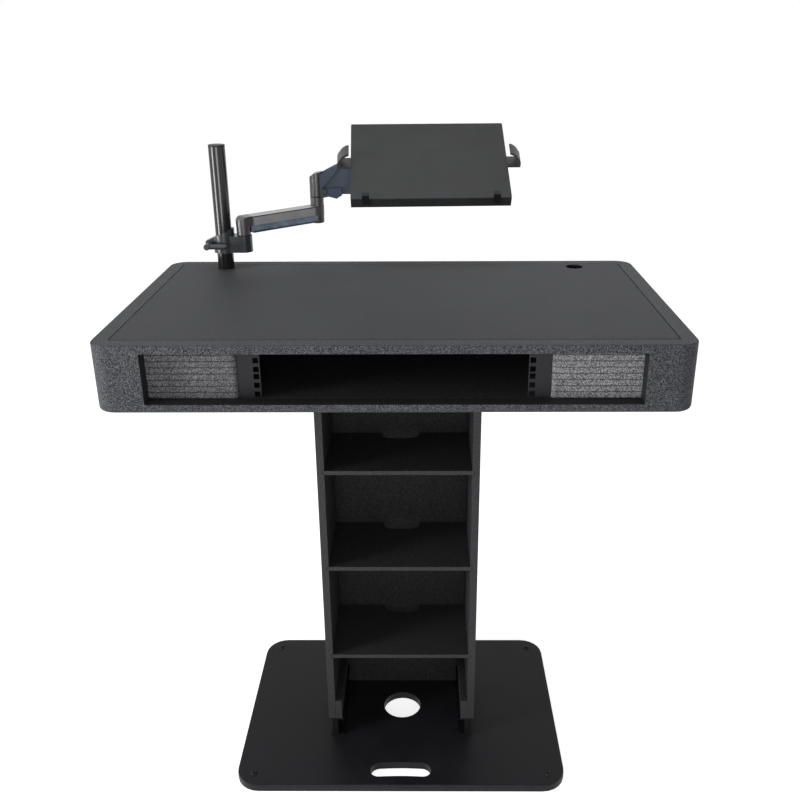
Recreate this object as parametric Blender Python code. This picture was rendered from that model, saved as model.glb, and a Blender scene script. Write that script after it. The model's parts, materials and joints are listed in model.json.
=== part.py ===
"""DJ podium stand: a console on a hollow column and a steel base plate, with a laptop arm on a pole.

Metres, +Z up. The origin is the centre of the worktop's upper face, X runs to the right and the
operator stands on the -Y side.
"""

import math

import bmesh
import bpy
from mathutils import Matrix

# Clearances
GAP = 0.0003  # between two pieces that touch
SCREW_GAP = 0.0003  # round a screw's shank, on the radius
RUNNING_GAP = 0.0004  # round a pin that something turns on, on the radius
EDGE = 0.001  # broken edge of turned pieces

# Console: an outer ring with an inset top panel and a bottom panel
TABLE_HEIGHT = 1.000  # worktop above the base plate's underside
TABLE_WIDTH = 1.006
TABLE_DEPTH = 0.578
TABLE_THICK = 0.120
TABLE_CORNER = 0.033
RING_WALL = 0.029
RING_TOP_BEVEL = 0.0015
RING_BOTTOM_ROUND = 0.006
TOP_THICK = 0.0155
TOP_GROOVE = 0.0016  # open joint round the top panel
BOTTOM_THICK = 0.0155
BAY_WIDTH = 0.834  # opening in the ring's front wall

# Layered blocks that close the bay at both ends
BLOCK_INNER_X = 0.264
BLOCK_LAYERS = 8
BLOCK_GROOVE = 0.0005
BLOCK_CORNER = 0.008
SOCKET_DIAMETER = 0.036
SOCKET_INSET = (0.128, 0.055)  # from the console's side and rear
BLOCK_SCREW_INSET = (0.036, 0.024)  # from the block's inner side and from the ring
BLOCK_SCREW_SETBACK = (0.089, 0.129)  # from the console's front and rear

# Rack rails and the rack's own standard pitch
RACK_UNIT = 0.04445
RACK_UNITS = 2
RACK_HOLE_X = 0.23255  # half the 465.1 mm between the two rows
RACK_CLEAR_X = 0.2255  # half the opening between the rails
RACK_HOLE_STEPS = (0.00635, 0.0222, 0.0381)
RACK_HOLE_SIDE = 0.0095
RAIL_SHEET = 0.002
RAIL_SETBACK = 0.033  # rail face behind the console's front face
RAIL_FLANGE = 0.040
RAIL_SCREW_SHARE = 0.65  # of the flange's depth
RAIL_SCREW_INSET = 0.018  # from both ends

# Column
COLUMN_WIDTH = 0.320
COLUMN_DEPTH = 0.197
PANEL_THICK = 0.015
SHELF_THICK = 0.009
SHELF_PITCH = 0.2197
SHELF_COUNT = 3
DADO_DEPTH = 0.004
NOTCH_WIDTH = 0.082
NOTCH_DEPTH = 0.028
NOTCH_FULLNESS = 3.0  # 2 is an ellipse, more is squarer
CABLE_SLOT_LENGTH = 0.120  # in the console's bottom panel, over the column
CABLE_SLOT_WIDTH = 0.040

# Steel rails under the side panels, and the wooden cleats that the panels are screwed to
FOOT_HEIGHT = 0.047
FOOT_WIDTH = 0.030
FOOT_WEB = 0.012
FOOT_FLANGE = 0.003
FOOT_OUTER_SETBACK = 0.003  # flange inside the column's outer face
FOOT_WEB_SETBACK = 0.007  # web inside the column's outer face
CLEAT_THICK = 0.014
CLEAT_HEIGHT = 0.048
CLEAT_SCREW_DROP = 0.007  # screw line under the cleat's top
CLEAT_SCREW_PITCH = 0.049
CLEAT_SCREW_COUNT = 4
CLEAT_SCREW_SHIFT = 0.0015  # the row's middle behind the column's
FOOT_SCREW_Y = 0.060
FOOT_SCREW_INSET = 0.0075  # from the rail's inner edge

# Base plate
BASE_WIDTH = 0.695
BASE_DEPTH = 0.486
BASE_THICK = 0.017
BASE_CORNER = 0.050
BASE_BEVEL = 0.003
BASE_BEVEL_STEP = 0.3  # where the bevel's two faces meet, as a share of it
CABLE_HOLE_DIAMETER = 0.084
HANDLE_LENGTH = 0.129
HANDLE_WIDTH = 0.038
HANDLE_SETBACK = 0.022  # slot behind the plate's front edge
HANDLE_BOW = 0.0035
FOOT_DIAMETER = 0.038
FOOT_PROUD = 0.003
FOOT_RECESS = 0.0015
FOOT_EDGE = 0.0015
FOOT_INSET_X = 0.036
FOOT_INSET_Y = 0.032

# Screw holes: a shank's radius, or shank radius, head radius and head height where the head is sunk
WOOD_SCREW = 0.002
FOOT_SCREW = 0.0025
LOCK_SCREW = 0.002
PANEL_SCREW = (0.0025, 0.005, 0.003)
PLATE_SCREW = (0.0035, 0.0065, 0.004)
WOOD_SCREW_BITE = 0.022
PANEL_SCREW_BITE = 0.036

# Pole in the left socket
POLE_DIAMETER = 0.0345
POLE_WALL = 0.002
POLE_RISE = 0.2535  # above the worktop, under the cap
POLE_CAP_THICK = 0.0035
POLE_CAP_PLUG = 0.012
POLE_PLUG_LENGTH = 0.020
POLE_BOLT = (0.004, 0.0075, 0.006)
POLE_BOLT_END = 0.002  # inside the plug's end
WASHER_RADIUS = 0.015
WASHER_THICK = 0.002

# Clamp collar on the pole
COLLAR_WALL = 0.005
COLLAR_BOTTOM = 0.035
COLLAR_TOP = 0.077  # at the pole's axis
COLLAR_TOP_SLOPE = 0.45
COLLAR_SLIT = 0.003
EAR_REACH = 0.039  # clamping ears, left of the pole's axis
EAR_THICK = 0.009
EAR_BOTTOM = 0.0415
EAR_DROP = 0.0006  # ears' top under the ring's
EAR_CORNER = 0.003
BOSS_OFFSET = 0.043
BOSS_RADIUS = 0.017
BOSS_TOP = 0.0705
BOSS_FOOT = 0.0006  # boss over the collar's lower end
BOSS_ROOT = 0.009  # where the boss starts, right of the pole's axis
BOSS_PIN_FLOOR = 0.006  # over the collar's lower end
BOSS_PIN_DEPTH = 0.012  # pin's end under the lower arm's top
LEVER_X = 0.031  # clamp bolt, left of the pole's axis
LEVER_Z = 0.0517
LEVER_Y = 0.0305  # handle in front of the pole's axis
LEVER_RADIUS = 0.0060
LEVER_HUB = 0.0066
LEVER_BAR = (  # distance along it and share of its radius
    (0.001, 0.80),
    (0.013, 0.92),
    (0.0345, 1.0),
    (0.0390, 0.86),
    (0.0420, 0.5),
)
CLAMP_SHANK = 0.0025
CLAMP_HEAD = (0.0050, 0.0035)
CLAMP_END = 0.004  # bolt's end behind the lever's face

# Lower arm
PIN_RADIUS = 0.006
ARM_HEADING = math.radians(42.5)
ARM_LENGTH = 0.195
BARREL_RADIUS = 0.015
ARM_BOTTOM = 0.0723
ARM_TOP = 0.110
BEAM_PROUD = 0.0004  # beam outside the barrels, all round
BEAM_NOSE = (0.015, 0.008)  # slope of the near end's top: length, drop
CHANNEL_BOTTOM = 0.0765
CHANNEL_TOP = 0.090
CHANNEL_WALL = 0.0015
CHANNEL_INSET = 0.0008  # channel inside the beam's sides
CHANNEL_EDGE = 0.002
ELBOW_BARREL_BOTTOM = 0.074
ELBOW_BARREL_TOP = 0.128
ELBOW_CAP_THICK = 0.0025
ELBOW_CAP_RADIUS = 0.0145
ELBOW_PIN_RISE = 0.025  # pin's end over the washer
ELBOW_WASHER_TOP = 0.1305
ARM_WASHER_RADIUS = 0.014

# Elbow casting and its covers, measured from the elbow's axis
POST_TOPS = (0.1832, 0.1810)  # the top's steep and flat faces, at the axis
POST_TOP_SLOPES = (0.748, 0.22)
FORK_INNER = 0.0147
FORK_PLATE = 0.003
COVER_PLATE = 0.003
LIFT_X = 0.0195
LIFT_Z = 0.1427
LINK_DX = 0.006  # upper pivot from the lower one
LINK_DZ = 0.029
KNUCKLE = (
    (0.0098, 0.1310),
    (0.0157, 0.1290),
    (0.0293, 0.1315),
    (0.0463, 0.1270),
    (0.0583, 0.1343),
    (0.0568, 0.1511),
    (0.0173, 0.1484),
    (0.0160, 0.1500),
    (0.0166, 0.1522),
    (0.0499, 0.1901),
    (0.0499, 0.2002),
    (0.0098, 0.1798),
)
FORK_LEFT = 0.0104
FORK_WEB = (0.0096, 0.0123)
LIFT_PIN = 0.003
LIFT_BOLT_HEAD = 0.006
LIFT_BOLT_HEAD_THICK = 0.003

# Upper arm, a channel open below that moves with an inner link as a parallelogram
LIFT_LENGTH = 0.1993
SHELL_WIDTH = 0.0288
SHELL_WALL = 0.0028
EAR_RADIUS = 0.0065
SHELL_RISE = math.radians(59)
SHELL_WEB_X = 0.0304  # the top web starts here, to clear the link's ears
SHELL_TOP = 0.0540  # over the lower pivot line, where the web starts
SHELL_TOP_END = 0.0407
SHELL_END_DROP = 0.0107
LINK_WIDTH = 0.006
LINK_HEIGHT = 0.010
LINK_LUG = 0.004
LINK_PIN = 0.0024
LINK_OPEN_GAP = 0.0006  # the link's head end, where the linkage is opened

# Head block and yoke, measured from the head's lower pivot
HUB_X = 0.0298
HUB_RADIUS = 0.014
HUB_BOTTOM = -0.0147
HUB_TOP = 0.0173
HEAD_WAIST = 0.008  # from the hub's axis to where the underside turns up
HEAD_STEP = (0.003, 0.002)  # block inside the hub's bottom and top
TONGUE_WIDTH = 0.0224
TONGUE_RADIUS = 0.008
YOKE_PIN = 0.005
YOKE_PIN_LENGTH = 0.018
YOKE_DISC_RADIUS = 0.016
YOKE_DISC_TOP = 0.0243
YOKE_PIN_ROOT = 0.005  # pin's upper end under the disc's top
TILT_Z = 0.0423  # tilt axis over the head's lower pivot
EAR_INNER = 0.0105
EAR_OUTER = 0.015
YOKE_EAR_RADIUS = 0.006
TILT_PIN = 0.004
TILT_HEAD = (0.0065, 0.0035)
TILT_PIN_END = 0.003  # pin's end inside the knob's face
TILT_KNOB_RADIUS = 0.009
TILT_KNOB_LENGTH = 0.008

# Laptop tray, measured from the tilt axis in its own tilted frame
TRAY_TILT = math.radians(32.8)
TRAY_TURN = math.radians(2.55)  # about the head's vertical axis
TRAY_RISE = 0.0500  # upper face over the tilt axis
TRAY_WIDTH = 0.3366
TRAY_DEPTH = 0.240
TRAY_FRONT = -0.1435  # front edge of the upper face
TRAY_SHEET = 0.0025
TRAY_LIP = 0.0223
LIP_INSET = 0.0004  # inside the plate's sides
LIP_SINK = 0.0008  # under the plate's upper face
LIP_PROUD = 0.001  # in front of the plate
TRAY_CORNER = 0.003
BRACKET_CORNER = 0.008
BRACKET_SIDE = 0.100
BRACKET_SHEET = 0.003
CLIP_X = 0.1368
CLIP_WIDTH = 0.0146
CLIP_SHEET = 0.0023
CLIP_BOTTOM = -0.0140
CLIP_TOP = 0.0120
CLIP_HOOK = 0.010
CLAW_Y = -0.0230  # middle of the claw bars, behind the tilt axis
CLAW_DEPTH = 0.030
CLAW_OUTER = 0.1975
CLAW_BAR_END = 0.066
CLAW_BAR_TOP = -0.0058
CLAW_BAR_THICK = 0.0056
CLAW_HOOK = (
    (0.0000, -0.0005),
    (0.0015, 0.0060),
    (0.0050, 0.0115),
    (0.0110, 0.0205),
    (0.0175, 0.0258),
    (0.0240, 0.0289),
    (0.0262, 0.0270),
    (0.0255, 0.0235),
    (0.0190, 0.0205),
    (0.0130, 0.0150),
    (0.0095, 0.0080),
    (0.0080, 0.0000),
)
GUIDE_START = 0.100
GUIDE_END = 0.155
GUIDE_WALL = 0.003
LOCK_KNOB_RADIUS = 0.006
LOCK_KNOB_LENGTH = 0.008
LOCK_KNOB_DROP = 0.001  # knob under the guide

# Places that follow from the sizes above
BASE_Z = -TABLE_HEIGHT
BASE_TOP = BASE_Z + BASE_THICK
FOOT_TOP = BASE_TOP + FOOT_HEIGHT
TABLE_BOTTOM = -TABLE_THICK
BAY_TOP = -TOP_THICK
BAY_BOTTOM = -(TABLE_THICK - BOTTOM_THICK)
INNER_X = TABLE_WIDTH / 2 - RING_WALL
INNER_Y = TABLE_DEPTH / 2 - RING_WALL
INNER_CORNER = TABLE_CORNER - RING_WALL
SOCKET_X = TABLE_WIDTH / 2 - SOCKET_INSET[0]
SOCKET_Y = TABLE_DEPTH / 2 - SOCKET_INSET[1]
PANEL_X = COLUMN_WIDTH / 2 - PANEL_THICK
COLUMN_FRONT = -COLUMN_DEPTH / 2
BACK_Y = COLUMN_DEPTH / 2 - PANEL_THICK
CLEAT_SCREW_Z = FOOT_TOP + CLEAT_HEIGHT - CLEAT_SCREW_DROP
FLANGE_SCREW_X = COLUMN_WIDTH / 2 - FOOT_OUTER_SETBACK - FOOT_WIDTH + FOOT_SCREW_INSET
PANEL_SCREW_X = COLUMN_WIDTH / 2 - PANEL_THICK / 2
POLE_RADIUS = POLE_DIAMETER / 2
POLE_FOOT = BAY_BOTTOM + GAP
ELBOW_X = -SOCKET_X + BOSS_OFFSET + ARM_LENGTH * math.cos(ARM_HEADING)
ELBOW_Y = SOCKET_Y + ARM_LENGTH * math.sin(ARM_HEADING)
HEAD_X = ELBOW_X + LIFT_X + LIFT_LENGTH + HUB_X
TRAY_UNDER = TRAY_RISE - TRAY_SHEET

# Frames of the bodies that move
WORLD = Matrix.Identity(4)
POLE_FRAME = Matrix.Translation((-SOCKET_X, SOCKET_Y, 0))
CLAMP_FRAME = Matrix.Translation((-SOCKET_X - LEVER_X, SOCKET_Y, LEVER_Z))
ARM_FRAME = Matrix.Translation((-SOCKET_X + BOSS_OFFSET, SOCKET_Y, 0)) @ Matrix.Rotation(ARM_HEADING, 4, "Z")
ELBOW_FRAME = Matrix.Translation((ELBOW_X, ELBOW_Y, 0))
LIFT_FRAME = Matrix.Translation((ELBOW_X + LIFT_X, ELBOW_Y, LIFT_Z))
LINK_FRAME = Matrix.Translation((ELBOW_X + LIFT_X + LINK_DX, ELBOW_Y, LIFT_Z + LINK_DZ))
HEAD_FRAME = Matrix.Translation((ELBOW_X + LIFT_X + LIFT_LENGTH, ELBOW_Y, LIFT_Z))
YOKE_FRAME = Matrix.Translation((HEAD_X, ELBOW_Y, LIFT_Z)) @ Matrix.Rotation(TRAY_TURN, 4, "Z")
TRAY_FRAME = YOKE_FRAME @ Matrix.Translation((0, 0, TILT_Z)) @ Matrix.Rotation(TRAY_TILT, 4, "X")

# Colours, roughness, metallic
PAINT_TOP = ((0.030, 0.031, 0.034), 0.50, 0.0)
PAINT_SIDE = ((0.075, 0.076, 0.080), 0.60, 0.0)
PAINT_BLACK = ((0.012, 0.012, 0.013), 0.45, 0.0)
STEEL_BLACK = ((0.015, 0.015, 0.016), 0.35, 0.3)
RUBBER = ((0.010, 0.010, 0.010), 0.85, 0.0)
ZINC = ((0.55, 0.55, 0.56), 0.35, 1.0)
CAST_GREY = ((0.22, 0.22, 0.23), 0.45, 0.2)
BLUE_GREY = ((0.11, 0.125, 0.15), 0.50, 0.0)
DARK_PLASTIC = ((0.020, 0.020, 0.022), 0.50, 0.0)


def clear_scene():
    for old in list(bpy.data.objects):
        bpy.data.objects.remove(old, do_unlink=True)


def paint(name, look):
    colour, roughness, metallic = look
    made = bpy.data.materials.new(name)
    made.use_nodes = True
    shader = made.node_tree.nodes["Principled BSDF"]
    shader.inputs["Base Color"].default_value = (*colour, 1.0)
    shader.inputs["Roughness"].default_value = roughness
    shader.inputs["Metallic"].default_value = metallic
    made.diffuse_color = (*colour, 1.0)
    return made


def arc(centre, radius, start, end, steps):
    """Points on an arc, both ends included."""
    turn = (end - start) / steps
    return [
        (centre[0] + radius * math.cos(start + turn * i), centre[1] + radius * math.sin(start + turn * i))
        for i in range(steps + 1)
    ]


def circle(radius, centre=(0, 0), sides=24):
    return arc(centre, radius, 0, 2 * math.pi, sides)[:-1]


def rectangle(x0, y0, x1, y1):
    return [(x0, y0), (x1, y0), (x1, y1), (x0, y1)]


def rounded(width, depth, corner, centre=(0, 0), steps=6):
    """A rectangle with round corners."""
    dx = width / 2 - corner
    dy = depth / 2 - corner
    points = []
    for i, (sx, sy) in enumerate(((1, 1), (-1, 1), (-1, -1), (1, -1))):
        middle = (centre[0] + sx * dx, centre[1] + sy * dy)
        points += arc(middle, corner, i * math.pi / 2, (i + 1) * math.pi / 2, steps)
    return points


def sector(inner, outer, start, end, steps=20):
    """Part of a flat ring."""
    return arc((0, 0), outer, start, end, steps) + arc((0, 0), inner, end, start, steps)


def mirrored(outline):
    return [(-a, b) for a, b in reversed(outline)]


def loft(mesh, levels, holes=(), axis="Z"):
    """A solid through outlines at several heights, with holes right through that may step in width.

    A height is a number, or a function of the outline's two coordinates for a sloping face.
    """

    def corner(a, b, height):
        h = height(a, b) if callable(height) else height
        return {"X": (h, a, b), "Y": (a, h, b), "Z": (a, b, h)}[axis]

    faces = []
    ends = ([], [])
    for chain in (levels, *holes):
        rings = [[mesh.verts.new(corner(a, b, height)) for a, b in outline] for height, outline in chain]
        for low, high in zip(rings, rings[1:]):
            for i in range(len(low)):
                faces.append(mesh.faces.new((low[i - 1], low[i], high[i], high[i - 1])))
        ends[0].append(rings[0])
        ends[1].append(rings[-1])
    for loops in ends:
        if len(loops) == 1:
            faces.append(mesh.faces.new(loops[0]))
            continue
        edges = [mesh.edges.get((ring[i - 1], ring[i])) for ring in loops for i in range(len(ring))]
        filled = bmesh.ops.triangle_fill(mesh, edges=edges, use_beauty=True)
        faces += [item for item in filled["geom"] if isinstance(item, bmesh.types.BMFace)]
    bmesh.ops.recalc_face_normals(mesh, faces=faces)


def prism(mesh, outline, low, high, axis="Z", holes=()):
    loft(mesh, [(low, outline), (high, outline)], [[(low, hole), (high, hole)] for hole in holes], axis)


def box(mesh, x0, x1, y0, y1, z0, z1):
    prism(mesh, rectangle(x0, y0, x1, y1), z0, z1)


def turned(mesh, profile, centre=(0, 0), axis="Z", sides=20, bore=None):
    """A round piece along an axis from (height, radius) pairs."""
    levels = [(height, circle(radius, centre, sides)) for height, radius in profile]
    ends = (profile[0][0], profile[-1][0])
    loft(mesh, levels, [[(height, circle(bore, centre, sides)) for height in ends]] if bore else (), axis)


def sunk_hole(size, centre, face, far, sides=10):
    """The chain of outlines for a countersunk screw's hole, from its head's face to the far one."""
    shank, head, thick = size
    away = 1 if face > far else -1
    chain = [
        (face, circle(head + SCREW_GAP, centre, sides)),
        (face - away * GAP, circle(head + SCREW_GAP, centre, sides)),
        (face - away * (thick + GAP), circle(shank + SCREW_GAP, centre, sides)),
        (far, circle(shank + SCREW_GAP, centre, sides)),
    ]
    return chain if far > face else chain[::-1]


def thing(name, mesh, frame, look):
    """The named piece made from a mesh in its body's frame."""
    data = bpy.data.meshes.new(name)
    mesh.to_mesh(data)
    mesh.free()
    data.shade_smooth()
    data.set_sharp_from_angle(angle=math.radians(32))
    data.materials.append(paint(name, look))
    made = bpy.data.objects.new(name, data)
    made.matrix_world = frame
    bpy.context.scene.collection.objects.link(made)
    return made


def helper(name, mesh, frame):
    """A hidden solid that a Boolean uses."""
    data = bpy.data.meshes.new(name)
    mesh.to_mesh(data)
    mesh.free()
    made = bpy.data.objects.new(name, data)
    made.matrix_world = frame
    made.hide_render = True
    made.display_type = "WIRE"
    bpy.context.scene.collection.objects.link(made)
    return made


def combine(piece, other, operation):
    step = piece.modifiers.new(other.name, "BOOLEAN")
    step.operation = operation
    step.solver = "EXACT"
    step.object = other


def cut(piece, mesh, frame, label="cut"):
    combine(piece, helper(f"{piece.name}_{label}", mesh, frame), "DIFFERENCE")


def join(piece, mesh, frame, label="join"):
    combine(piece, helper(f"{piece.name}_{label}", mesh, frame), "UNION")


def each_side():
    return (("left", -1), ("right", 1))


def base_foot_places():
    x = BASE_WIDTH / 2 - FOOT_INSET_X
    y = BASE_DEPTH / 2 - FOOT_INSET_Y
    return [(sx * x, sy * y) for sx in (-1, 1) for sy in (-1, 1)]


def flange_screw_places():
    return [(sx * FLANGE_SCREW_X, sy * FOOT_SCREW_Y) for sx in (-1, 1) for sy in (-1, 1)]


def panel_screw_places():
    return [(sx * PANEL_SCREW_X, sy * FOOT_SCREW_Y) for sx in (-1, 1) for sy in (-1, 1)]


def block_screw_places():
    x0 = BLOCK_INNER_X + BLOCK_SCREW_INSET[0]
    x1 = INNER_X - BLOCK_SCREW_INSET[1]
    y0 = -TABLE_DEPTH / 2 + BLOCK_SCREW_SETBACK[0]
    y1 = TABLE_DEPTH / 2 - BLOCK_SCREW_SETBACK[1]
    return [(sx * x, y) for sx in (-1, 1) for x in (x0, x1) for y in (y0, y1)]


def cleat_screw_ys():
    first = -CLEAT_SCREW_PITCH * (CLEAT_SCREW_COUNT - 1) / 2 + CLEAT_SCREW_SHIFT
    return [first + CLEAT_SCREW_PITCH * i for i in range(CLEAT_SCREW_COUNT)]


def shelf_tops():
    return [BASE_TOP + SHELF_PITCH * (i + 1) for i in range(SHELF_COUNT)]


def rack_screw_places():
    """Y and Z of the screws that hold a rack rail to its block."""
    y = -TABLE_DEPTH / 2 + RAIL_SETBACK + RAIL_FLANGE * RAIL_SCREW_SHARE
    return [(y, BAY_TOP - RAIL_SCREW_INSET), (y, BAY_BOTTOM + RAIL_SCREW_INSET)]


def handle_outline():
    """A slot with round ends whose long sides bow towards the column."""
    near = -BASE_DEPTH / 2 + HANDLE_SETBACK
    radius = HANDLE_WIDTH / 2
    middle = near + radius
    reach = HANDLE_LENGTH / 2 - radius

    def bowed(x, y):
        return (x, y + HANDLE_BOW * (1 - (x / (HANDLE_LENGTH / 2)) ** 2))

    points = [bowed(reach - 2 * reach * i / 8, middle + radius) for i in range(9)]
    points += [bowed(x, y) for x, y in arc((-reach, middle), radius, math.pi / 2, 3 * math.pi / 2, 10)[1:-1]]
    points += [bowed(-reach + 2 * reach * i / 8, middle - radius) for i in range(9)]
    points += [bowed(x, y) for x, y in arc((reach, middle), radius, -math.pi / 2, math.pi / 2, 10)[1:-1]]
    return points


def make_base():
    def plan(inset):
        return rounded(BASE_WIDTH - 2 * inset, BASE_DEPTH - 2 * inset, BASE_CORNER - inset)

    mesh = bmesh.new()
    levels = [
        (BASE_Z, plan(0)),
        (BASE_TOP - BASE_BEVEL, plan(0)),
        (BASE_TOP - BASE_BEVEL * BASE_BEVEL_STEP, plan(BASE_BEVEL * BASE_BEVEL_STEP)),
        (BASE_TOP, plan(BASE_BEVEL)),
    ]
    holes = [[(z, circle(CABLE_HOLE_DIAMETER / 2, sides=32)) for z in (BASE_Z, BASE_TOP)]]
    holes.append([(z, handle_outline()) for z in (BASE_Z, BASE_TOP)])
    for place in base_foot_places():
        pocket = circle(FOOT_DIAMETER / 2 + GAP, place)
        bore = circle(FOOT_SCREW + SCREW_GAP, place)
        floor = BASE_Z + FOOT_RECESS
        holes.append([(BASE_Z, pocket), (floor, pocket), (floor, bore), (BASE_TOP, bore)])
    for place in flange_screw_places():
        holes.append(sunk_hole(PLATE_SCREW, place, BASE_Z, BASE_TOP))
    loft(mesh, levels, holes)
    thing("base_plate", mesh, WORLD, STEEL_BLACK)

    names = ("front_left", "rear_left", "front_right", "rear_right")
    for name, place in zip(names, base_foot_places()):
        low = BASE_Z - FOOT_PROUD
        top = BASE_Z + FOOT_RECESS - GAP
        radius = FOOT_DIAMETER / 2
        profile = [(low, radius - FOOT_EDGE), (low + FOOT_EDGE, radius), (top, radius)]
        foot = bmesh.new()
        turned(foot, profile, place, bore=FOOT_SCREW + SCREW_GAP)
        thing(f"rubber_foot_{name}", foot, WORLD, RUBBER)


def foot_rail_outline():
    outer = COLUMN_WIDTH / 2 - FOOT_OUTER_SETBACK
    inner = outer - FOOT_WIDTH
    web_out = COLUMN_WIDTH / 2 - FOOT_WEB_SETBACK
    web_in = web_out - FOOT_WEB
    low = BASE_TOP + GAP
    high = FOOT_TOP - GAP
    return [
        (inner, low), (outer, low), (outer, low + FOOT_FLANGE), (web_out, low + FOOT_FLANGE),
        (web_out, high - FOOT_FLANGE), (outer, high - FOOT_FLANGE), (outer, high), (inner, high),
        (inner, high - FOOT_FLANGE), (web_in, high - FOOT_FLANGE), (web_in, low + FOOT_FLANGE),
        (inner, low + FOOT_FLANGE),
    ]


def make_column_foot():
    for side, sign in each_side():
        mesh = bmesh.new()
        outline = foot_rail_outline() if sign > 0 else mirrored(foot_rail_outline())
        prism(mesh, outline, COLUMN_FRONT, BACK_Y - GAP, "Y")
        rail = thing(f"foot_rail_{side}", mesh, WORLD, STEEL_BLACK)
        holes = bmesh.new()
        for y in (-FOOT_SCREW_Y, FOOT_SCREW_Y):
            place = (sign * FLANGE_SCREW_X, y)
            turned(holes, [(BASE_TOP - 0.002, PLATE_SCREW[0] + SCREW_GAP),
                           (BASE_TOP + FOOT_FLANGE + 0.006, PLATE_SCREW[0] + SCREW_GAP)], place)
            turned(holes, [(FOOT_TOP - FOOT_FLANGE - 0.004, WOOD_SCREW + SCREW_GAP),
                           (FOOT_TOP + 0.002, WOOD_SCREW + SCREW_GAP)], place)
        cut(rail, holes, WORLD)

        mesh = bmesh.new()
        near = sign * (PANEL_X - CLEAT_THICK)
        far = sign * (PANEL_X - GAP)
        wall = rectangle(COLUMN_FRONT, FOOT_TOP, BACK_Y - GAP, FOOT_TOP + CLEAT_HEIGHT)
        bores = [circle(WOOD_SCREW + SCREW_GAP, (y, CLEAT_SCREW_Z), 16) for y in cleat_screw_ys()]
        prism(mesh, wall, min(near, far), max(near, far), "X", bores)
        cleat = thing(f"cleat_{side}", mesh, WORLD, PAINT_BLACK)
        holes = bmesh.new()
        for y in (-FOOT_SCREW_Y, FOOT_SCREW_Y):
            radius = WOOD_SCREW + SCREW_GAP
            place = (sign * FLANGE_SCREW_X, y)
            turned(holes, [(FOOT_TOP - 0.002, radius), (FOOT_TOP + WOOD_SCREW_BITE, radius)], place)
        cut(cleat, holes, WORLD)


def make_side_panels():
    for side, sign in each_side():
        inner = sign * PANEL_X
        outer = sign * COLUMN_WIDTH / 2
        mesh = bmesh.new()
        x0 = min(inner, outer)
        box(mesh, x0, x0 + PANEL_THICK, COLUMN_FRONT, COLUMN_DEPTH / 2, FOOT_TOP, TABLE_BOTTOM - GAP)
        panel = thing(f"side_panel_{side}", mesh, WORLD, PAINT_BLACK)
        holes = bmesh.new()
        for top in shelf_tops():
            a = inner - sign * 0.002
            b = inner + sign * DADO_DEPTH
            low = top - SHELF_THICK - GAP
            box(holes, min(a, b), max(a, b), COLUMN_FRONT - 0.002, BACK_Y, low, top + GAP)
        radius = WOOD_SCREW + SCREW_GAP
        for y in cleat_screw_ys():
            a = inner - sign * 0.002
            b = inner + sign * (WOOD_SCREW_BITE - CLEAT_THICK + 0.001)
            turned(holes, [(min(a, b), radius), (max(a, b), radius)], (y, CLEAT_SCREW_Z), "X", 10)
        radius = PANEL_SCREW[0] + SCREW_GAP
        for y in (-FOOT_SCREW_Y, FOOT_SCREW_Y):
            place = (sign * PANEL_SCREW_X, y)
            depth = TABLE_BOTTOM - PANEL_SCREW_BITE + BOTTOM_THICK - 0.001
            turned(holes, [(depth, radius), (TABLE_BOTTOM + 0.002, radius)], place, sides=10)
        cut(panel, holes, WORLD)


def notch_outline(back):
    """Half of a squarish oval, cut in from the shelf's back edge."""
    power = 2 / NOTCH_FULLNESS
    points = []
    for across, deep in arc((0, 0), 1, 0, math.pi, 18):
        x = math.copysign(abs(across) ** power, across) * NOTCH_WIDTH / 2
        points.append((x, back - max(deep, 0) ** power * NOTCH_DEPTH))
    return points


def make_column_inside():
    mesh = bmesh.new()
    box(mesh, -PANEL_X + GAP, PANEL_X - GAP, BACK_Y, COLUMN_DEPTH / 2, BASE_TOP + GAP, TABLE_BOTTOM - GAP)
    thing("back_panel", mesh, WORLD, PAINT_BLACK)

    half = PANEL_X + DADO_DEPTH - GAP
    back = BACK_Y - GAP
    corners = rectangle(-half, COLUMN_FRONT, half, back)
    outline = [*corners[:3], *notch_outline(back), corners[3]]
    for name, top in zip(("shelf_lower", "shelf_middle", "shelf_upper"), shelf_tops()):
        mesh = bmesh.new()
        prism(mesh, outline, top - SHELF_THICK, top)
        thing(name, mesh, WORLD, PAINT_BLACK)


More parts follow.
